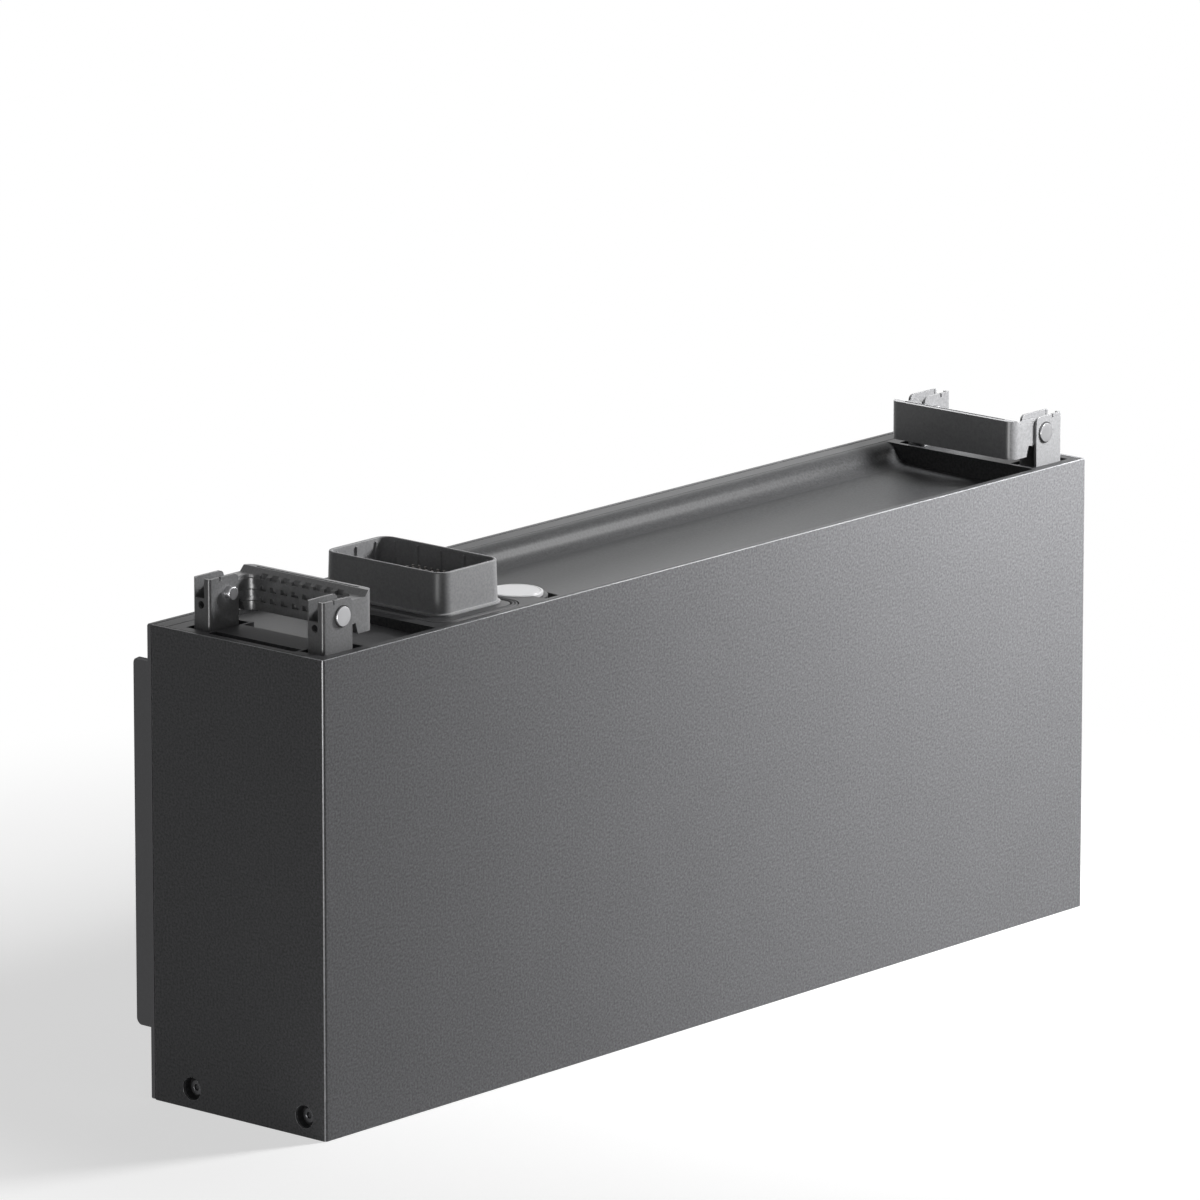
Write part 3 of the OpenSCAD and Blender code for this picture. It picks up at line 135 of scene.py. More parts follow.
def solid_boxes(node):
    """Boxes of the separate solids in a CAD node, by X and then Y.

    Equal points get one label, and each triangle passes on the lowest of its three labels until none changes.
    """
    mesh = frame["nodes"][node].data
    places = np.empty(len(mesh.vertices) * 3)
    mesh.vertices.foreach_get("co", places)
    places = places.reshape(-1, 3)
    triangles = np.empty(len(mesh.polygons) * 3, np.int32)
    mesh.polygons.foreach_get("vertices", triangles)
    same = np.unique(np.round(places, 6), axis=0, return_inverse=True)[1].ravel()
    triangles = same[triangles].reshape(-1, 3)
    label = np.arange(same.max() + 1)
    settled = False
    while not settled:
        spread = label.copy()
        np.minimum.at(spread, triangles.ravel(), np.repeat(label[triangles].min(1), 3))
        settled = np.array_equal(spread, label)
        label = spread
    label = label[same]
    boxes = [(places[label == k].min(0), places[label == k].max(0)) for k in np.unique(label)]
    return sorted(boxes, key=lambda b: (round(b[0][0], 3), round(b[0][1], 3)))


# Meshes


def put_mesh(name, points, faces, smooth_angle=SMOOTH_ANGLE):
    """A new object from point and face arrays, at the origin, smooth up to an angle."""
    mesh = bpy.data.meshes.new(name)
    mesh.from_pydata(np.asarray(points, float).tolist(), [], [list(f) for f in faces])
    mesh.validate()
    mesh.update()
    mesh.shade_smooth()
    mesh.set_sharp_from_angle(angle=math.radians(smooth_angle))
    obj = bpy.data.objects.new(name, mesh)
    bpy.context.scene.collection.objects.link(obj)
    return obj


def grid_faces(rows, cols, close_rows, close_cols):
    """Quads of a grid whose point (i, j) has the number i * cols + j."""
    i = np.arange(rows if close_rows else rows - 1)
    j = np.arange(cols if close_cols else cols - 1)
    i, j = np.meshgrid(i, j, indexing="ij")
    i2 = (i + 1) % rows
    j2 = (j + 1) % cols
    quads = np.stack([i * cols + j, i * cols + j2, i2 * cols + j2, i2 * cols + j], axis=-1)
    return quads.reshape(-1, 4).tolist()


def turned(profile, centre, axis, steps=64):
    """A profile turned about an axis: point = centre + r * (cos t * u + sin t * v) + h * axis.

    Each profile entry is (radius, height) or (radius, height, hex), where hex 1 draws that ring as a hexagon.
    The profile runs from the axis at the back round to the axis at the front, and both poles are closed.
    """
    axis = np.array(axis, float)
    centre = np.array(centre, float)
    u = np.cross(axis, [0, 0, 1] if abs(axis[2]) < 0.9 else [1, 0, 0])
    u /= np.linalg.norm(u)
    v = np.cross(axis, u)
    r = np.array([p[0] for p in profile])[1:-1]
    h = np.array([p[1] for p in profile])
    six = np.array([p[2] if len(p) > 2 else 0.0 for p in profile])[1:-1]
    t = np.linspace(0, 2 * np.pi, steps, endpoint=False)
    side = np.cos(np.pi / 6) / np.cos(np.mod(t, np.pi / 3) - np.pi / 6)
    radius = r[:, None] * (1 + six[:, None] * (side[None] - 1))
    ring = np.cos(t)[:, None] * u + np.sin(t)[:, None] * v
    grid = centre + radius[:, :, None] * ring[None] + h[1:-1][:, None, None] * axis
    points = np.concatenate([grid.reshape(-1, 3), [centre + h[0] * axis, centre + h[-1] * axis]])
    rows = len(r)
    faces = grid_faces(rows, steps, False, True)
    back, front = rows * steps, rows * steps + 1
    k = np.arange(steps)
    nxt = (k + 1) % steps
    last = (rows - 1) * steps
    faces += np.stack([np.full(steps, back), nxt, k], axis=-1).tolist()
    faces += np.stack([np.full(steps, front), last + k, last + nxt], axis=-1).tolist()
    return points, faces


def outward(obj):
    """Points every face of a closed mesh outwards."""
    bm = bmesh.new()
    bm.from_mesh(obj.data)
    bmesh.ops.recalc_face_normals(bm, faces=bm.faces)
    bm.to_mesh(obj.data)
    bm.free()
    return obj


def joined(name, parts, smooth_angle=SMOOTH_ANGLE):
    """One object from several (points, faces) pairs."""
    all_points = []
    all_faces = []
    count = 0
    for points, faces in parts:
        all_points.append(np.asarray(points))
        all_faces += [[k + count for k in f] for f in faces]
        count += len(points)
    return outward(put_mesh(name, np.concatenate(all_points), all_faces, smooth_angle))


def loop_path(low, high, radius, steps=12):
    """A rounded rectangle as core points and outward normals: point = core + (radius + offset) * normal."""
    cores = []
    normals = []
    quarter = np.linspace(0, np.pi / 2, steps)
    centres = [
        (high[0] - radius, high[1] - radius),
        (low[0] + radius, high[1] - radius),
        (low[0] + radius, low[1] + radius),
        (high[0] - radius, low[1] + radius),
    ]
    for k, c in enumerate(centres):
        angles = quarter + k * np.pi / 2
        cores.append(np.tile(c, (steps, 1)))
        normals.append(np.stack([np.cos(angles), np.sin(angles)], axis=-1))
    return np.concatenate(cores), np.concatenate(normals)


def carried(section, cores, normals, radius):
    """A closed section of (offset, height) carried round a loop.

    Point = core + (radius + offset) * normal, and z = height.
    """
    section = np.array(section)
    flat = cores[:, None, :] + (radius + section[None, :, 0, None]) * normals[:, None, :]
    z = np.broadcast_to(section[None, :, 1, None], flat.shape[:2] + (1,))
    points = np.concatenate([flat, z], axis=-1).reshape(-1, 3)
    return points, grid_faces(len(cores), len(section), True, True)


def arc(cx, cy, r, start, end, steps):
    """Points of a circular arc in degrees: (cx + r * cos t, cy + r * sin t)."""
    t = np.radians(np.linspace(start, end, steps))
    return np.stack([cx + r * np.cos(t), cy + r * np.sin(t)], axis=-1).tolist()


def dressed(node, name, edge, segments):
    """A merged copy of a CAD node with rounded edges, standing for that node."""
    mesh = frame["nodes"][node].data.copy()
    mesh.name = name
    mesh.materials.clear()
    bm = bmesh.new()
    bm.from_mesh(mesh)
    bmesh.ops.remove_doubles(bm, verts=bm.verts, dist=SAME_POINT)
    bmesh.ops.dissolve_degenerate(bm, edges=bm.edges, dist=SAME_POINT)
    bmesh.ops.dissolve_limit(
        bm, angle_limit=math.radians(SAME_FACE), verts=bm.verts, edges=bm.edges, delimit={"NORMAL"}
    )
    bm.to_mesh(mesh)
    bm.free()
    mesh.shade_smooth()
    mesh.set_sharp_from_angle(angle=math.radians(SMOOTH_ANGLE))
    obj = bpy.data.objects.new(name, mesh)
    bpy.context.scene.collection.objects.link(obj)
    bevel = obj.modifiers.new("edges", "BEVEL")
    bevel.width = edge
    bevel.segments = segments
    bevel.limit_method = "ANGLE"
    bevel.angle_limit = math.radians(BEVEL_ANGLE)
    bevel.harden_normals = True
    bevel.use_clamp_overlap = True
    # The rounded edges take the second coat where a piece has one: a lighter coat that paints a highlight
    # along them
    bevel.material = 1
    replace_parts(obj, node)
    return obj


def finish_piece(obj, body, material):
    """Gives a piece its material, or its pair of body and edge coats, and its body."""
    obj.data.materials.clear()
    for coat in material if isinstance(material, tuple) else (material,):
        obj.data.materials.append(coat)
    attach(obj, body)
    return obj


# Materials


class Wire:
    """A shader socket that takes part in Python sums."""

    def __init__(self, tree, socket):
        self.tree = tree
        self.socket = socket

    def maths(self, operation, other, swapped=False):
        """Adds a Math node for this socket and a number or another socket."""
        pair = (other, self) if swapped else (self, other)
        return self.tree.add("ShaderNodeMath", {"operation": operation}, {0: pair[0], 1: pair[1]})

    def __add__(self, other):
        return self.maths("ADD", other)

    def __radd__(self, other):
        return self.maths("ADD", other, True)

    def __mul__(self, other):
        return self.maths("MULTIPLY", other)

    def __rmul__(self, other):
        return self.maths("MULTIPLY", other, True)

    def either(self, other):
        """The larger of two masks of 0 and 1."""
        return self.maths("MAXIMUM", other)


class Tree:
    """A node tree with its own shader and its output, built by adding nodes."""

    def __init__(self, node_tree, shader, output):
        self.nodes = node_tree.nodes
        self.links = node_tree.links
        self.surface = self.nodes[shader]
        self.output = self.nodes[output]

    def add(self, kind, settings, values, output=0):
        """Adds a node, sets its settings, fills its sockets with numbers or wires, and returns an output."""
        node = self.nodes.new(kind)
        for key, value in settings.items():
            setattr(node, key, value)
        for key, value in values.items():
            self.fill(node.inputs[key], value)
        return Wire(self, node.outputs[output])

    def fill(self, socket, value):
        """Links a socket to a wire, or sets its number or colour."""
        if isinstance(value, Wire):
            self.links.new(value.socket, socket)
        else:
            socket.default_value = value

    def feed(self, socket, value):
        """Sets one of the own shader's sockets."""
        self.fill(self.surface.inputs[socket], value)

    def own(self):
        """What the own shader gives."""
        return Wire(self, self.surface.outputs[0])

    def glow(self, kind, strength):
        """A plain white glow of a strength; 1 is white."""
        return self.add(kind, {}, {"Color": WHITE, "Strength": strength})

    def rays(self, kind):
        """A mask that is 1 for one kind of ray."""
        return self.add("ShaderNodeLightPath", {}, {}, "Is " + kind + " Ray")

    def mirrored(self):
        """A mask that is 1 for rays that left a glossy surface or passed through glass."""
        return self.rays("Glossy").either(self.rays("Transmission"))

    def mixed(self, factor, first, second):
        """A mix of two shaders."""
        return self.add("ShaderNodeMixShader", {}, {0: factor, 1: first, 2: second})

    def show(self, shader):
        """Puts a shader on the tree's output."""
        self.fill(self.output.inputs["Surface"], shader)


class Paint(Tree):
    """One material, with patterns that follow Object coordinates."""

    def __init__(self, name):
        self.material = bpy.data.materials.new(name)
        self.material.use_nodes = True
        super().__init__(self.material.node_tree, "Principled BSDF", "Material Output")
        self.place = self.add("ShaderNodeTexCoord", {}, {}, "Object")

    def noise(self, scale, detail=2.0, roughness=0.5, place=None):
        """Even noise about 0.5, with so many waves to the metre."""
        values = {"Vector": place or self.place, "Scale": scale, "Detail": detail, "Roughness": roughness}
        return self.add("ShaderNodeTexNoise", {"noise_dimensions": "3D"}, values)

    def spread(self, value, low, high, first=0.0, last=1.0):
        """Carries the range from low to high over to the range from first to last."""
        return self.add("ShaderNodeMapRange", {}, {"Value": value, 1: low, 2: high, 3: first, 4: last})

    def blend(self, factor, first, second):
        """A mix of two colours."""
        return self.add("ShaderNodeMix", {"data_type": "RGBA"}, {"Factor": factor, 6: first, 7: second}, 2)

    def bump(self, height, strength, distance):
        """Puts a height on the surface's normal."""
        values = {"Height": height, "Strength": strength, "Distance": distance}
        self.feed("Normal", self.add("ShaderNodeBump", {}, values))


def tone(colour, factor):
    """A colour made lighter or darker, as four numbers."""
    return tuple(min(1.0, c * factor) for c in colour[:3]) + (1.0,)


def powder_coat(name, colour, roughness, metallic, grain=900.0, contrast=0.16, relief=0.25, specular=0.5):
    """Powder coat: a fine speckle of light and dark grains, faint slow mottling and an orange-peel relief."""
    paint = Paint(name)
    speckle = paint.noise(grain, 1.0, 0.6)
    cloud = paint.noise(18.0, 3.0)
    mask = paint.spread(speckle * 0.93 + cloud * 0.07, 0.3, 0.7)
    paint.feed("Base Color", paint.blend(mask, tone(colour, 1 - contrast), tone(colour, 1 + contrast)))
    paint.feed("Roughness", speckle * 0.12 + (roughness - 0.06))
    paint.feed("Metallic", metallic)
    paint.feed("Specular IOR Level", specular)
    paint.bump(paint.noise(grain * 0.6, 2.0, 0.6), relief, 0.12 * MM)
    return paint.material


def coats(name, colour, highlight_factor, roughness, grain, contrast, relief, specular):
    """A powder coat, and the coat that its edges show: lighter by a factor, a painted highlight along the
    rounded edges, and smoother.
    """
    body = powder_coat(name, colour, roughness, 0.0, grain, contrast, relief, specular)
    highlight_tone = tone(colour, highlight_factor)
    edge = powder_coat(
        name + "_edge", highlight_tone, roughness * 0.8, 0.0, grain, contrast * 0.5, relief * 0.5, EDGE_SHINE
    )
    return body, edge


def moulded(name, colour, roughness, grain=1400.0, contrast=0.06, relief=0.08):
    """Moulded plastic: an even colour with a faint spark-eroded texture."""
    paint = Paint(name)
    speckle = paint.noise(grain)
    paint.feed("Base Color", paint.blend(speckle, tone(colour, 1 - contrast), tone(colour, 1 + contrast)))
    paint.feed("Roughness", speckle * 0.1 + (roughness - 0.05))
    paint.bump(speckle, relief, 0.08 * MM)
    return paint.material


def metal(name, colour, roughness, stretch=(1.0, 1.0, 30.0), grain=60.0, contrast=0.1):
    """Bare metal with a fine drawn or turned grain, stretched along one axis."""
    paint = Paint(name)
    long = paint.add("ShaderNodeMapping", {}, {"Vector": paint.place, "Scale": stretch})
    lines = paint.noise(grain, 3.0, 0.6, long)
    paint.feed("Base Color", paint.blend(lines, tone(colour, 1 - contrast), tone(colour, 1 + contrast)))
    paint.feed("Roughness", lines * 0.15 + (roughness - 0.07))
    paint.feed("Metallic", 1.0)
    paint.bump(lines, 0.08, 0.05 * MM)
    return paint.material


def rubber(name, colour):
    """Dull black rubber with a dusty bloom."""
    paint = Paint(name)
    bloom = paint.noise(220.0, 4.0, 0.6)
    paint.feed("Base Color", paint.blend(bloom, tone(colour, 0.8), tone(colour, 1.35)))
    paint.feed("Roughness", bloom * 0.15 + 0.55)
    paint.bump(paint.noise(1800.0), 0.1, 0.06 * MM)
    return paint.material


def circuit(name, colour):
    """Circuit board: solder resist over faint tracks."""
    paint = Paint(name)
    values = {"Vector": paint.place, "Scale": 160.0}
    tracks = paint.add("ShaderNodeTexVoronoi", {"feature": "DISTANCE_TO_EDGE"}, values)
    mask = paint.spread(tracks, 0.02, 0.05, 1.0, 0.0)
    paint.feed("Base Color", paint.blend(mask, tone(colour, 0.9), tone(colour, 1.6)))
    paint.feed("Roughness", 0.35)
    paint.bump(mask, 0.1, 0.1 * MM)
    return paint.material


# What a user would change


class ModuleFinish(bpy.types.PropertyGroup):
    """Colours and grain of the module."""

    housing: bpy.props.FloatVectorProperty(
        name="Housing", description="Colour of the wrap-around sheet", subtype="COLOR", size=3,
        min=0.0, max=1.0, default=(0.186, 0.187, 0.194),
    )
    cover: bpy.props.FloatVectorProperty(
        name="Top cover", description="Colour of the cast top cover", subtype="COLOR", size=3,
        min=0.0, max=1.0, default=(0.038, 0.0384, 0.040),
    )
    shroud: bpy.props.FloatVectorProperty(
        name="Shroud", description="Colour of the connector shroud", subtype="COLOR", size=3,
        min=0.0, max=1.0, default=(0.31, 0.311, 0.318),
    )
    rear: bpy.props.FloatVectorProperty(
        name="Rear plate", description="Colour of the finned rear plate", subtype="COLOR", size=3,
        min=0.0, max=1.0, default=(0.035, 0.035, 0.038),
    )
    bracket: bpy.props.FloatVectorProperty(
        name="Brackets", description="Colour of the folded brackets", subtype="COLOR", size=3,
        min=0.0, max=1.0, default=(0.25, 0.251, 0.257),
    )
    handle: bpy.props.FloatVectorProperty(
        name="Handles", description="Colour of the carry handles", subtype="COLOR", size=3,
        min=0.0, max=1.0, default=(0.25, 0.251, 0.257),
    )
    cap: bpy.props.FloatVectorProperty(
        name="Vent cap", description="Colour of the vent cap", subtype="COLOR", size=3,
        min=0.0, max=1.0, default=(0.56, 0.56, 0.57),
    )
    grain: bpy.props.FloatProperty(
        name="Grain", description="Grains of the powder coat in a metre", default=480.0,
        min=100.0, max=3000.0,
    )


class ModuleEdges(bpy.types.PropertyGroup):
    """Edge radii of the pieces."""

    sheet: bpy.props.FloatProperty(
        name="Sheet", description="Edge radius of the wrap-around sheet", default=1.0 * MM,
        min=0.1 * MM, max=2 * MM, unit="LENGTH",
    )
    casting: bpy.props.FloatProperty(
        name="Casting", description="Edge radius of the cast cover and rear plate", default=0.7 * MM,
        min=0.1 * MM, max=2 * MM, unit="LENGTH",
    )
    bracket: bpy.props.FloatProperty(
        name="Brackets", description="Edge radius of the folded brackets", default=0.35 * MM,
        min=0.1 * MM, max=1 * MM, unit="LENGTH",
    )
    handle: bpy.props.FloatProperty(
        name="Handles", description="Edge radius of the carry handles", default=0.9 * MM,
        min=0.1 * MM, max=2 * MM, unit="LENGTH",
    )


class ModuleStudio(bpy.types.PropertyGroup):
    """Floor, lamps and camera."""

    azimuth: bpy.props.FloatProperty(
        name="Azimuth", description="Camera's turn round the module", default=math.radians(-48.911),
        subtype="ANGLE",
    )
    elevation: bpy.props.FloatProperty(
        name="Elevation", description="Camera's height over the horizon", default=math.radians(13.4677),
        subtype="ANGLE",
    )
    distance: bpy.props.FloatProperty(
        name="Distance", description="Camera's distance from the module's middle", default=9.51,
        min=1.0, max=40.0, unit="LENGTH",
    )
    lens: bpy.props.FloatProperty(
        name="Lens", description="Focal length of the camera in millimetres", default=330.91,
        min=20.0, max=1000.0,
    )
    key: bpy.props.FloatProperty(
        name="Key lamp", description="Power of the lamp at the front right", default=24.0,
        min=0.0, max=2000.0,
    )
    edge: bpy.props.FloatProperty(
        name="Edge lamp", description="Power of the strip that the tray's slope mirrors", default=10.0,
        min=0.0, max=2000.0,
    )
    top: bpy.props.FloatProperty(
        name="Top lamp", description="Power of the lamp overhead", default=0.8,
        min=0.0, max=2000.0,
    )
    rim: bpy.props.FloatProperty(
        name="Rim lamp", description="Power of the lamp behind on the right", default=1.0,
        min=0.0, max=2000.0,
    )
    corner: bpy.props.FloatProperty(
        name="Corner lamp", description="Power of the strip that upright corners mirror", default=60.0,
        min=0.0, max=2000.0,
    )


# Pieces


def settings():
    """The three groups of settings in the current scene."""
    scene = bpy.context.scene
    return scene.module_finish, scene.module_edges, scene.module_studio


def housing_paint(look):
    """The sheet's body coat, and its lighter edge coat, which paints a highlight along the rounded edges."""
    return coats(
        "housing_coat", look.housing, 3.6, roughness=0.38, grain=look.grain,
        contrast=0.28, relief=0.4, specular=0.12,
    )


def cover_paint(look):
    """The cast cover's body coat, and its lighter edge coat, which paints a highlight along the rounded
    edges.
    """
    return coats(
        "cover_coat", look.cover, 2.6, roughness=0.46, grain=look.grain,
        contrast=0.35, relief=0.4, specular=0.2,
    )


def rear_paint(look):
    """The finned plate's dark coat."""
    return powder_coat("rear_coat", look.rear, 0.5, 0.2, look.grain, contrast=0.12, relief=0.3)


def bracket_paint(look):
    """The folded brackets' body coat, and their lighter edge coat, which paints a highlight along the rounded
    edges.
    """
    return coats(
        "bracket_coat", look.bracket, 1.4, roughness=0.36, grain=look.grain,
        contrast=0.12, relief=0.25, specular=0.25,
    )


def handle_paint(look):
    """The carry handles' body coat, and their lighter edge coat, which paints a highlight along the rounded
    edges.
    """
    return coats(
        "handle_coat", look.handle, 1.15, roughness=0.38, grain=look.grain,
        contrast=0.12, relief=0.25, specular=0.45,
    )


def shroud_paint(look):
    """The shroud's coat, and the lighter one on its rib tips, a painted highlight."""
    return coats(
        "shroud_coat", look.shroud, 2.2, roughness=0.42, grain=look.grain,
        contrast=0.1, relief=0.25, specular=0.15,
    )


class MODULE_OT_housing(bpy.types.Operator):
    """Wrap-around sheet, rear plate, rail and top cover with rounded edges"""

    bl_idname = "module.housing"
    bl_label = "Housing"

    def execute(self, context):
        look, edges, _ = settings()
        cast = cover_paint(look)
        wrap = dressed("shell", "housing_wrap", edges.sheet, 3)
        finish_piece(wrap, HOUSING, housing_paint(look))
        # The upright corners get a painted highlight line from the lighter edge coat
        self.paint_corner_highlights(wrap.data)
        plate = dressed("rear_plate", "finned_rear_plate", edges.casting, 2)
        finish_piece(plate, HOUSING, rear_paint(look))
        rail = dressed("rear_rail", "rear_edge_rail", edges.casting, 2)
        finish_piece(rail, HOUSING, cast[0])
        cover = dressed("top_cover", "cast_top_cover", edges.casting, 3)
        finish_piece(cover, HOUSING, cast)
        return {"FINISHED"}

    def paint_corner_highlights(self, mesh):
        """Gives the middle of the upright round corners, found by its normals, the edges' lighter coat: a
        painted highlight line down each corner.
        """
        upright, least_side, least_front = 0.1, 0.6, 0.35
        normals = np.empty(len(mesh.polygons) * 3)
        mesh.polygons.foreach_get("normal", normals)
        x, y, z = np.abs(normals.reshape(-1, 3)).T
        middle = (z < upright) & (x > least_side) & (y > least_front)
        mesh.polygons.foreach_set("material_index", middle.astype(np.int32))


class MODULE_OT_brackets(bpy.types.Operator):
    """Four folded sheet brackets with broken edges"""

    bl_idname = "module.brackets"
    bl_label = "Brackets"

    def execute(self, context):
        look, edges, _ = settings()
        coat = bracket_paint(look)
        for node in ("bracket_near_front", "bracket_near_rear", "bracket_far_front", "bracket_far_rear"):
            piece = dressed(node, "folded_" + node, edges.bracket, 2)
            finish_piece(piece, HOUSING, coat)
        return {"FINISHED"}


class MODULE_OT_handles(bpy.types.Operator):
    """Two folding carry handles with rounded edges"""

    bl_idname = "module.handles"
    bl_label = "Carry handles"

    def execute(self, context):
        look, edges, _ = settings()
        coat = handle_paint(look)
        for node, body in (("handle_near", NEAR), ("handle_far", FAR)):
            piece = dressed(node, "cast_" + node, edges.handle, 3)
            finish_piece(piece, body, coat)
        return {"FINISHED"}


def shroud_loop(low, high, radius, rib_pitch, rib_width):
    """The shroud's loop with extra places at its ribs, as core points, normals and rib heights from 0 to 1.

    A rib is half round: height = sqrt(1 - (2 * offset) ** 2), with offset from -0.5 to 0.5 across its width.
    """
    cores, normals = loop_path(low, high, radius)
    mask = np.zeros(len(cores))
    quarter = len(cores) // 4
    pieces = []
    for side in range(4):
        part = slice(side * quarter, (side + 1) * quarter)
        pieces.append((cores[part], normals[part], mask[part]))
        first = cores[(side + 1) * quarter - 1]
        last = cores[((side + 1) * quarter) % len(cores)]
        normal = normals[(side + 1) * quarter - 1]
        length = np.linalg.norm(last - first)
        count = max(2, int(round(length / rib_pitch)) + 1) if length > rib_pitch * 2 else 2
        places = np.linspace(rib_width, length - rib_width, count)
        offsets = np.linspace(-0.5, 0.5, 9)
        along = (places[:, None] + rib_width * offsets[None]).reshape(-1)
        line = first[None] + along[:, None] * ((last - first) / length)[None]
        on = np.tile(np.sqrt(1 - (2 * offsets) ** 2), count)
        pieces.append((line, np.tile(normal, (len(line), 1)), on))
    return tuple(np.concatenate([piece[k] for piece in pieces]) for k in range(3))


class MODULE_OT_connector(bpy.types.Operator):
    """Shroud with inner ribs, its ring seal and the white vent cap"""

    bl_idname = "module.connector"
    bl_label = "Connector and cap"

    def execute(self, context):
        look = settings()[0]
        self.shroud(shroud_paint(look))
        self.seal(rubber("seal_rubber", (0.02, 0.02, 0.022)))
        self.cap(moulded("cap_plastic", look.cap, 0.38, grain=1600.0, contrast=0.015, relief=0.04))
        return {"FINISHED"}

    def shroud(self, coat):
        """A wall with flange, lean and rounded lip, carried round the loop; ribs thicken its inner side.

        Point = core + (radius + offset - rib depth * rib height) * normal, and z = height.
        """
        low, high = corners("shroud")
        flange, flange_top, wall, lean = 2.4 * MM, 1.5 * MM, 2.8 * MM, 1.0 * MM
        radius, lip, fillet, toe = 13.0 * MM, 0.9 * MM, 1.0 * MM, 0.4 * MM
        rib_pitch, rib_width, rib_depth = 25 * MM, 2.2 * MM, 1.6 * MM
        rib_end, rib_fade = 3.6 * MM, 3.0 * MM
        lean_end, lean_fade = 0.92 * lean, 0.93 * lean
        base, tall = low[2], high[2] - low[2]
        cores, normals, ribs = shroud_loop(low[:2] + flange, high[:2] - flange, radius, rib_pitch, rib_width)
        outline = [(-wall - lean_fade, tall - rib_fade)]
        outline += arc(-wall - lean + lip, tall - lip, lip, 180, 90, 5)
        outline += arc(-lean - lip, tall - lip, lip, 90, 0, 5)
        outline += arc(fillet, flange_top + fillet, fillet, 180, 270, 5)
        outline += arc(flange - toe, flange_top - toe, toe, 90, 0, 4)
        outline += [(flange, 0.0)]
        section = [(-wall, 0.0, 1), (-wall - lean_end, tall - rib_end, 1)] + [(x, z, 0) for x, z in outline]
        offset, height, inner = np.array(section).T
        shift = offset[None] - rib_depth * inner[None] * ribs[:, None]
        flat = cores[:, None] + (radius + shift)[..., None] * normals[:, None]
        z = np.broadcast_to((base + height)[None, :, None], flat.shape[:2] + (1,))
        points = np.concatenate([flat, z], axis=-1).reshape(-1, 3)
        faces = grid_faces(len(cores), len(section), True, True)
        piece = outward(put_mesh("connector_shroud", points, faces, 40.0))
        # Rib tips take the lighter second coat: a painted highlight down each rib
        rib_highlight = (ribs[:, None] > 0.6) & (inner[None] > 0)
        piece.data.polygons.foreach_set("material_index", rib_highlight.reshape(-1).astype(np.int32))
        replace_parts(piece, "shroud")
        finish_piece(piece, HOUSING, coat)

    def seal(self, material):
        """A flat band carried round its groove, with two beads: height = |sin(2 pi t)| ** 0.8 across it."""
        low, high = corners("shroud_gasket")
        width, radius, bead = 5.2 * MM, 18.8 * MM, 0.9 * MM
        cores, normals = loop_path(low[:2], high[:2], radius, 16)
        across = np.linspace(0, 1, 25)
        top = high[2] - bead + bead * np.abs(np.sin(2 * np.pi * across)) ** 0.8
        section = [(-width * t, z) for t, z in zip(across, top)]
        section += [(-width, low[2]), (0.0, low[2])]
        piece = joined("ring_seal", [carried(section, cores, normals, radius)], 50.0)
        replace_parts(piece, "shroud_gasket")
        finish_piece(piece, HOUSING, material)

    def cap(self, material):
        """A turned disc with a rounded edge and a fine ring groove near its rim."""
        low, high = corners("vent_cap")
        centre = ((low[0] + high[0]) / 2, (low[1] + high[1]) / 2, low[2])
        r, t = (high[0] - low[0]) / 2, high[2] - low[2]
        foot, brim = 0.6 * MM, 1.0 * MM
        ring, ring_w, ring_side, ring_deep = r - 2.0 * MM, 0.9 * MM, 0.2 * MM, 0.35 * MM
        profile = [(0, 0), (r - foot, 0)]
        profile += arc(r - foot, foot, foot, -90, 0, 5)
        profile += arc(r - brim, t - brim, brim, 0, 90, 7)
        profile += [(ring, t), (ring - ring_side, t - ring_deep)]
        profile += [(ring - ring_w + ring_side, t - ring_deep), (ring - ring_w, t)]
        profile += [(r * 0.6, t), (0, t)]
        piece = joined("white_vent_cap", [turned(profile, centre, (0, 0, 1), 96)])
        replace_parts(piece, "vent_cap")
        finish_piece(piece, HOUSING, material)


def screw_profile(head, tall, socket, deep, shank, length, waist=None):
    """Back pole, shank, waist, underside, rounded head and hexagon socket.

    Each entry is (radius, height, hex), with heights from the seat. A waist is given as (radius, length).
    """
    edge = min(0.25 * tall, 0.5 * MM)
    lead, dish = 0.25 * MM, 0.3 * MM
    neck, neck_end = waist or (shank, 0.5 * MM)
    profile = [(0, -length), (shank, -length), (shank, -neck_end), (neck, -neck_end)]
    profile += [(neck, 0.0), (head - edge * 0.5, 0.0), (head, edge * 0.5)]
    profile += arc(head - edge, tall - edge, edge, 0, 90, 5)
    profile += [(socket + lead, tall, 0.6), (socket, tall - lead, 1), (socket, tall - deep, 1)]
    profile += [(0, tall - deep - dish)]
    return profile


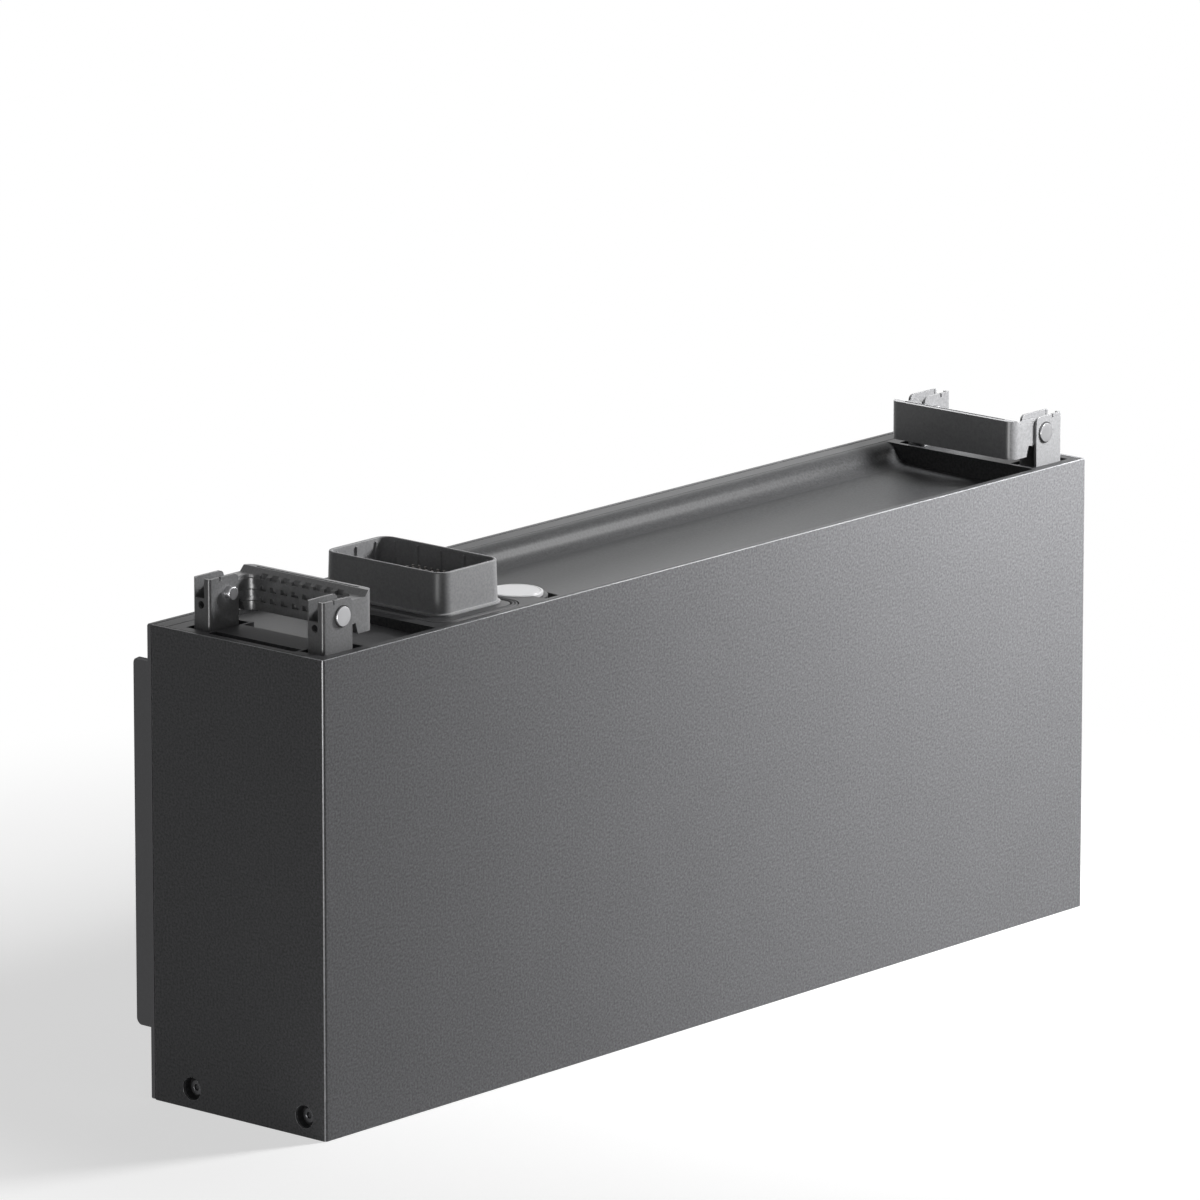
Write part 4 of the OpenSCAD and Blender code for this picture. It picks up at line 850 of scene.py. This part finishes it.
class MODULE_OT_screws(bpy.types.Operator):
    """Screw heads on the rear plate and in the sunk seats, and the pivot pins"""

    bl_idname = "module.screws"
    bl_label = "Screws and pins"

    def execute(self, context):
        self.rear()
        self.stacking()
        self.pins()
        return {"FINISHED"}

    def rear(self):
        """Small round-headed screws whose heads rest on the rear plate."""
        steel = metal("rear_screw_steel", (0.30, 0.30, 0.31), 0.4, (30, 1, 30), 80.0)
        tall, deep, shank = 2.0 * MM, 1.2 * MM, 2.5 * MM
        parts = []
        for low, high in solid_boxes("rear_screws"):
            centre = (low + high) / 2
            seat = high[1] - tall
            head = (high[0] - low[0]) / 2
            profile = screw_profile(head, tall, head * 0.45, deep, shank, seat - low[1])
            parts.append(turned(profile, (centre[0], seat, centre[2]), (0, 1, 0), 36))
        piece = joined("rear_plate_screws", parts, 30.0)
        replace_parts(piece, "rear_screws")
        finish_piece(piece, HOUSING, steel)

    def stacking(self):
        """Cap screws with a waist behind the head, whose heads stand in the sunk seats of the end faces."""
        black = metal("black_screw_steel", (0.05, 0.05, 0.052), 0.4, (30, 1, 1), 80.0)
        tall, socket, deep, shank, waist = 4.0 * MM, 2.9 * MM, 2.6 * MM, 3.0 * MM, (2.5 * MM, 3.5 * MM)
        parts = []
        for low, high in solid_boxes("stacking_screws"):
            centre = (low + high) / 2
            near = centre[0] < 0
            axis = (-1, 0, 0) if near else (1, 0, 0)
            seat = low[0] + tall if near else high[0] - tall
            head = (high[1] - low[1]) / 2
            profile = screw_profile(head, tall, socket, deep, shank, high[0] - low[0] - tall, waist)
            parts.append(turned(profile, (seat, centre[1], centre[2]), axis, 48))
        piece = joined("sunk_stacking_screws", parts, 30.0)
        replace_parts(piece, "stacking_screws")
        finish_piece(piece, HOUSING, black)

    def pins(self):
        """Pins turned from the inside out: a round-ended collar, the shank in the ear and a flat head."""
        bright = metal("pin_steel", (0.42, 0.42, 0.43), 0.34, (1, 30, 1), 90.0, 0.05)
        collar, tail, shank, thick = 5.7 * MM, 6.0 * MM, 4.0 * MM, 1.4 * MM
        rounding, flat_in, edge = 0.9 * MM, 1.2 * MM, 0.35 * MM
        for node in ("pivots_near", "pivots_far"):
            parts = []
            boxes = solid_boxes(node)
            middle = np.mean([(low + high) / 2 for low, high in boxes], axis=0)
            for low, high in boxes:
                centre = (low + high) / 2
                out = -1.0 if centre[1] < middle[1] else 1.0
                inner = high[1] if out < 0 else low[1]
                span = high[1] - low[1]
                head = (high[0] - low[0]) / 2
                profile = [(0, 0), (collar - flat_in, 0)]
                profile += arc(collar - rounding, rounding, rounding, -90, 0, 5)
                profile += [(collar, tail), (shank, tail), (shank, span - thick), (head, span - thick)]
                profile += arc(head - edge, span - edge, edge, 0, 90, 4)
                profile += [(head * 0.5, span), (0, span)]
                parts.append(turned(profile, (centre[0], inner, centre[2]), (0, out, 0), 64))
            piece = joined("turned_" + node, parts, 30.0)
            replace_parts(piece, node)
            finish_piece(piece, HOUSING, bright)


class MODULE_OT_inner(bpy.types.Operator):
    """Finishes of the pieces that keep their CAD surface"""

    bl_idname = "module.inner"
    bl_label = "Carried-over pieces"

    def execute(self, context):
        replaced = set()
        for obj in bpy.data.objects:
            replaced.update(obj.get("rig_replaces", []))
        record = frame["record"]
        kinds = {m["slot"]: m for m in record["materials"]}
        slots = {s["node"]: s["material_slot"] for s in record["subparts"]}
        made = {}
        for node, obj in frame["nodes"].items():
            if node in replaced:
                continue
            slot_name = slots[node]
            own = node in OWN_FINISHES
            key = node if own else slot_name
            if key not in made:
                made[key] = own_finish(node) if own else slot_finish(slot_name, kinds[slot_name])
            obj.data.materials.clear()
            obj.data.materials.append(made[key])
        return {"FINISHED"}


def slot_finish(name, kind):
    """A procedural finish for one of the record's material slots."""
    colour = tuple(kind["base_color"][:3])
    if name.startswith("board"):
        return circuit("finish_" + name, colour)
    if kind["class"] in ("brushed_steel", "chrome", "aluminium", "brass"):
        return metal("finish_" + name, colour, 0.35)
    if kind["class"] == "painted_metal":
        return powder_coat("finish_" + name, colour, 0.5, 0.3)
    if kind["class"] == "rubber":
        return rubber("finish_" + name, colour)
    return moulded("finish_" + name, colour, 0.5)


# Pieces whose own finish differs from their slot's: the finish's function and its values
OWN_FINISHES = {
    "pivot_washers": (rubber, {"colour": (0.012, 0.012, 0.013)}),
    "base_frame": (
        powder_coat,
        {"colour": (0.07, 0.07, 0.073), "roughness": 0.5, "metallic": 0.0, "grain": 480.0, "contrast": 0.2,
         "relief": 0.3, "specular": 0.15},
    ),
    # The contact pins are darkened to painted shade, as the inside of the shroud lies in shade
    "signal_pins": (metal, {"colour": SHADED_CONTACT_TONE, "roughness": 0.45}),
    "power_pins": (metal, {"colour": SHADED_CONTACT_TONE, "roughness": 0.45}),
}


def own_finish(node):
    """A procedural finish for one of the pieces in OWN_FINISHES."""
    finish, values = OWN_FINISHES[node]
    return finish("finish_" + node, **values)


# Stage


def area_lamp(name, place, target, width, height, power):
    """A rectangular soft lamp that points at the target."""
    data = bpy.data.lights.new(name, "AREA")
    data.shape = "RECTANGLE"
    data.size = width
    data.size_y = height
    data.energy = power
    lamp = bpy.data.objects.new(name, data)
    bpy.context.scene.collection.objects.link(lamp)
    lamp.location = place
    lamp.rotation_euler = (Vector(target) - Vector(place)).to_track_quat("-Z", "Y").to_euler()
    return lamp


class MODULE_OT_stage(bpy.types.Operator):
    """Floor, world, lamps and camera"""

    bl_idname = "module.stage"
    bl_label = "Studio"

    def execute(self, context):
        studio = settings()[2]
        self.floor()
        self.world()
        self.lamps(studio)
        self.camera(studio)
        context.scene.view_settings.view_transform = "Standard"
        return {"FINISHED"}

    def floor(self):
        """A wide plane that keeps the module's shadow, which fades into plain white away from it."""
        paint = Paint("pale_floor")
        paint.feed("Base Color", tone((FLOOR_TONE, FLOOR_TONE, FLOOR_TONE), 1.0))
        paint.feed("Roughness", 0.9)
        paint.feed("Specular IOR Level", 0.0)
        white = paint.glow("ShaderNodeEmission", 1.0)
        lifted = paint.glow("ShaderNodeEmission", FLOOR_GLOW)
        lit = paint.add("ShaderNodeAddShader", {}, {0: paint.own(), 1: lifted})
        distance = paint.add("ShaderNodeVectorMath", {"operation": "LENGTH"}, {0: paint.place}, "Value")
        reach = {"Value": distance, "From Min": SHADOW_REACH[0], "From Max": SHADOW_REACH[1]}
        far_off = paint.add("ShaderNodeMapRange", {"interpolation_type": "SMOOTHSTEP"}, reach)
        unseen = paint.mixed(paint.mirrored(), paint.own(), white)
        paint.show(paint.mixed(paint.rays("Camera"), unseen, paint.mixed(far_off, lit, white)))
        mesh = bpy.data.meshes.new("floor")
        r = FLOOR_REACH
        mesh.from_pydata([(-r, -r, 0), (r, -r, 0), (r, r, 0), (-r, r, 0)], [], [(0, 1, 2, 3)])
        mesh.materials.append(paint.material)
        floor = bpy.data.objects.new("floor", mesh)
        floor.location.z = -FLOOR_DROP
        bpy.context.scene.collection.objects.link(floor)

    def world(self):
        """A sky that lights the module evenly, and is plain white to the camera and in reflections."""
        world = bpy.data.worlds.new("studio_world")
        bpy.context.scene.world = world
        world.use_nodes = True
        sky = Tree(world.node_tree, "Background", "World Output")
        sky.feed("Color", WHITE)
        sky.feed("Strength", WORLD_LEVEL)
        plain = sky.rays("Camera").either(sky.mirrored())
        sky.show(sky.mixed(plain, sky.own(), sky.glow("ShaderNodeBackground", 1.0)))

    def lamps(self, studio):
        """The lamps, of which the strips are seen only in reflections."""
        for name, place, target, width, height in LAMPS:
            lamp = area_lamp(name + "_lamp", place, target, width, height, getattr(studio, name))
            lamp.visible_diffuse = name not in STRIPS

    def camera(self, studio):
        """The photo's view: the camera stands back from its turning point and looks along that line."""
        front = corners("shell")[0][1]
        target = Vector((0.0, front + VIEW_DEPTH, VIEW_HEIGHT))
        a, e = studio.azimuth, studio.elevation
        back = Vector((math.sin(a) * math.cos(e), -math.cos(a) * math.cos(e), math.sin(e)))
        right = Vector((math.cos(a), math.sin(a), 0))
        up = back.cross(right)
        data = bpy.data.cameras.new("camera")
        data.sensor_width = 36.0
        data.lens = studio.lens
        data.clip_start = 0.1
        data.clip_end = 100.0
        camera = bpy.data.objects.new("camera", data)
        scene = bpy.context.scene
        scene.collection.objects.link(camera)
        camera.location = target + back * studio.distance - right * VIEW_LEFT + up * VIEW_UP
        camera.rotation_mode = "QUATERNION"
        camera.rotation_quaternion = Matrix((right, up, back)).transposed().to_quaternion()
        scene.camera = camera


class MODULE_PT_sidebar(bpy.types.Panel):
    """Lists the module's settings and the steps that build it"""

    bl_idname = "MODULE_PT_sidebar"
    bl_label = "Home battery module"
    bl_space_type = "VIEW_3D"
    bl_region_type = "UI"
    bl_category = "Battery"

    def draw(self, context):
        layout = self.layout
        for group in settings():
            for key in group.bl_rna.properties.keys():
                if key not in ("rna_type", "name"):
                    layout.prop(group, key)
        for step in STEPS:
            layout.operator(step.bl_idname)


STEPS = (
    MODULE_OT_housing,
    MODULE_OT_brackets,
    MODULE_OT_handles,
    MODULE_OT_connector,
    MODULE_OT_screws,
    MODULE_OT_inner,
    MODULE_OT_stage,
)
GROUPS = (
    ("module_finish", ModuleFinish),
    ("module_edges", ModuleEdges),
    ("module_studio", ModuleStudio),
)


def register():
    """Registers the settings, the steps and the panel."""
    for key, group in GROUPS:
        bpy.utils.register_class(group)
        setattr(bpy.types.Scene, key, bpy.props.PointerProperty(type=group))
    for step in STEPS:
        bpy.utils.register_class(step)
    bpy.utils.register_class(MODULE_PT_sidebar)


def unregister():
    """Takes the panel, the steps and the settings out again."""
    bpy.utils.unregister_class(MODULE_PT_sidebar)
    for step in reversed(STEPS):
        bpy.utils.unregister_class(step)
    for key, group in reversed(GROUPS):
        delattr(bpy.types.Scene, key)
        bpy.utils.unregister_class(group)


def main():
    """Runs every step in order."""
    register()
    for step in STEPS:
        group, name = step.bl_idname.split(".")
        getattr(getattr(bpy.ops, group), name)()


if __name__ == "__main__":
    main()
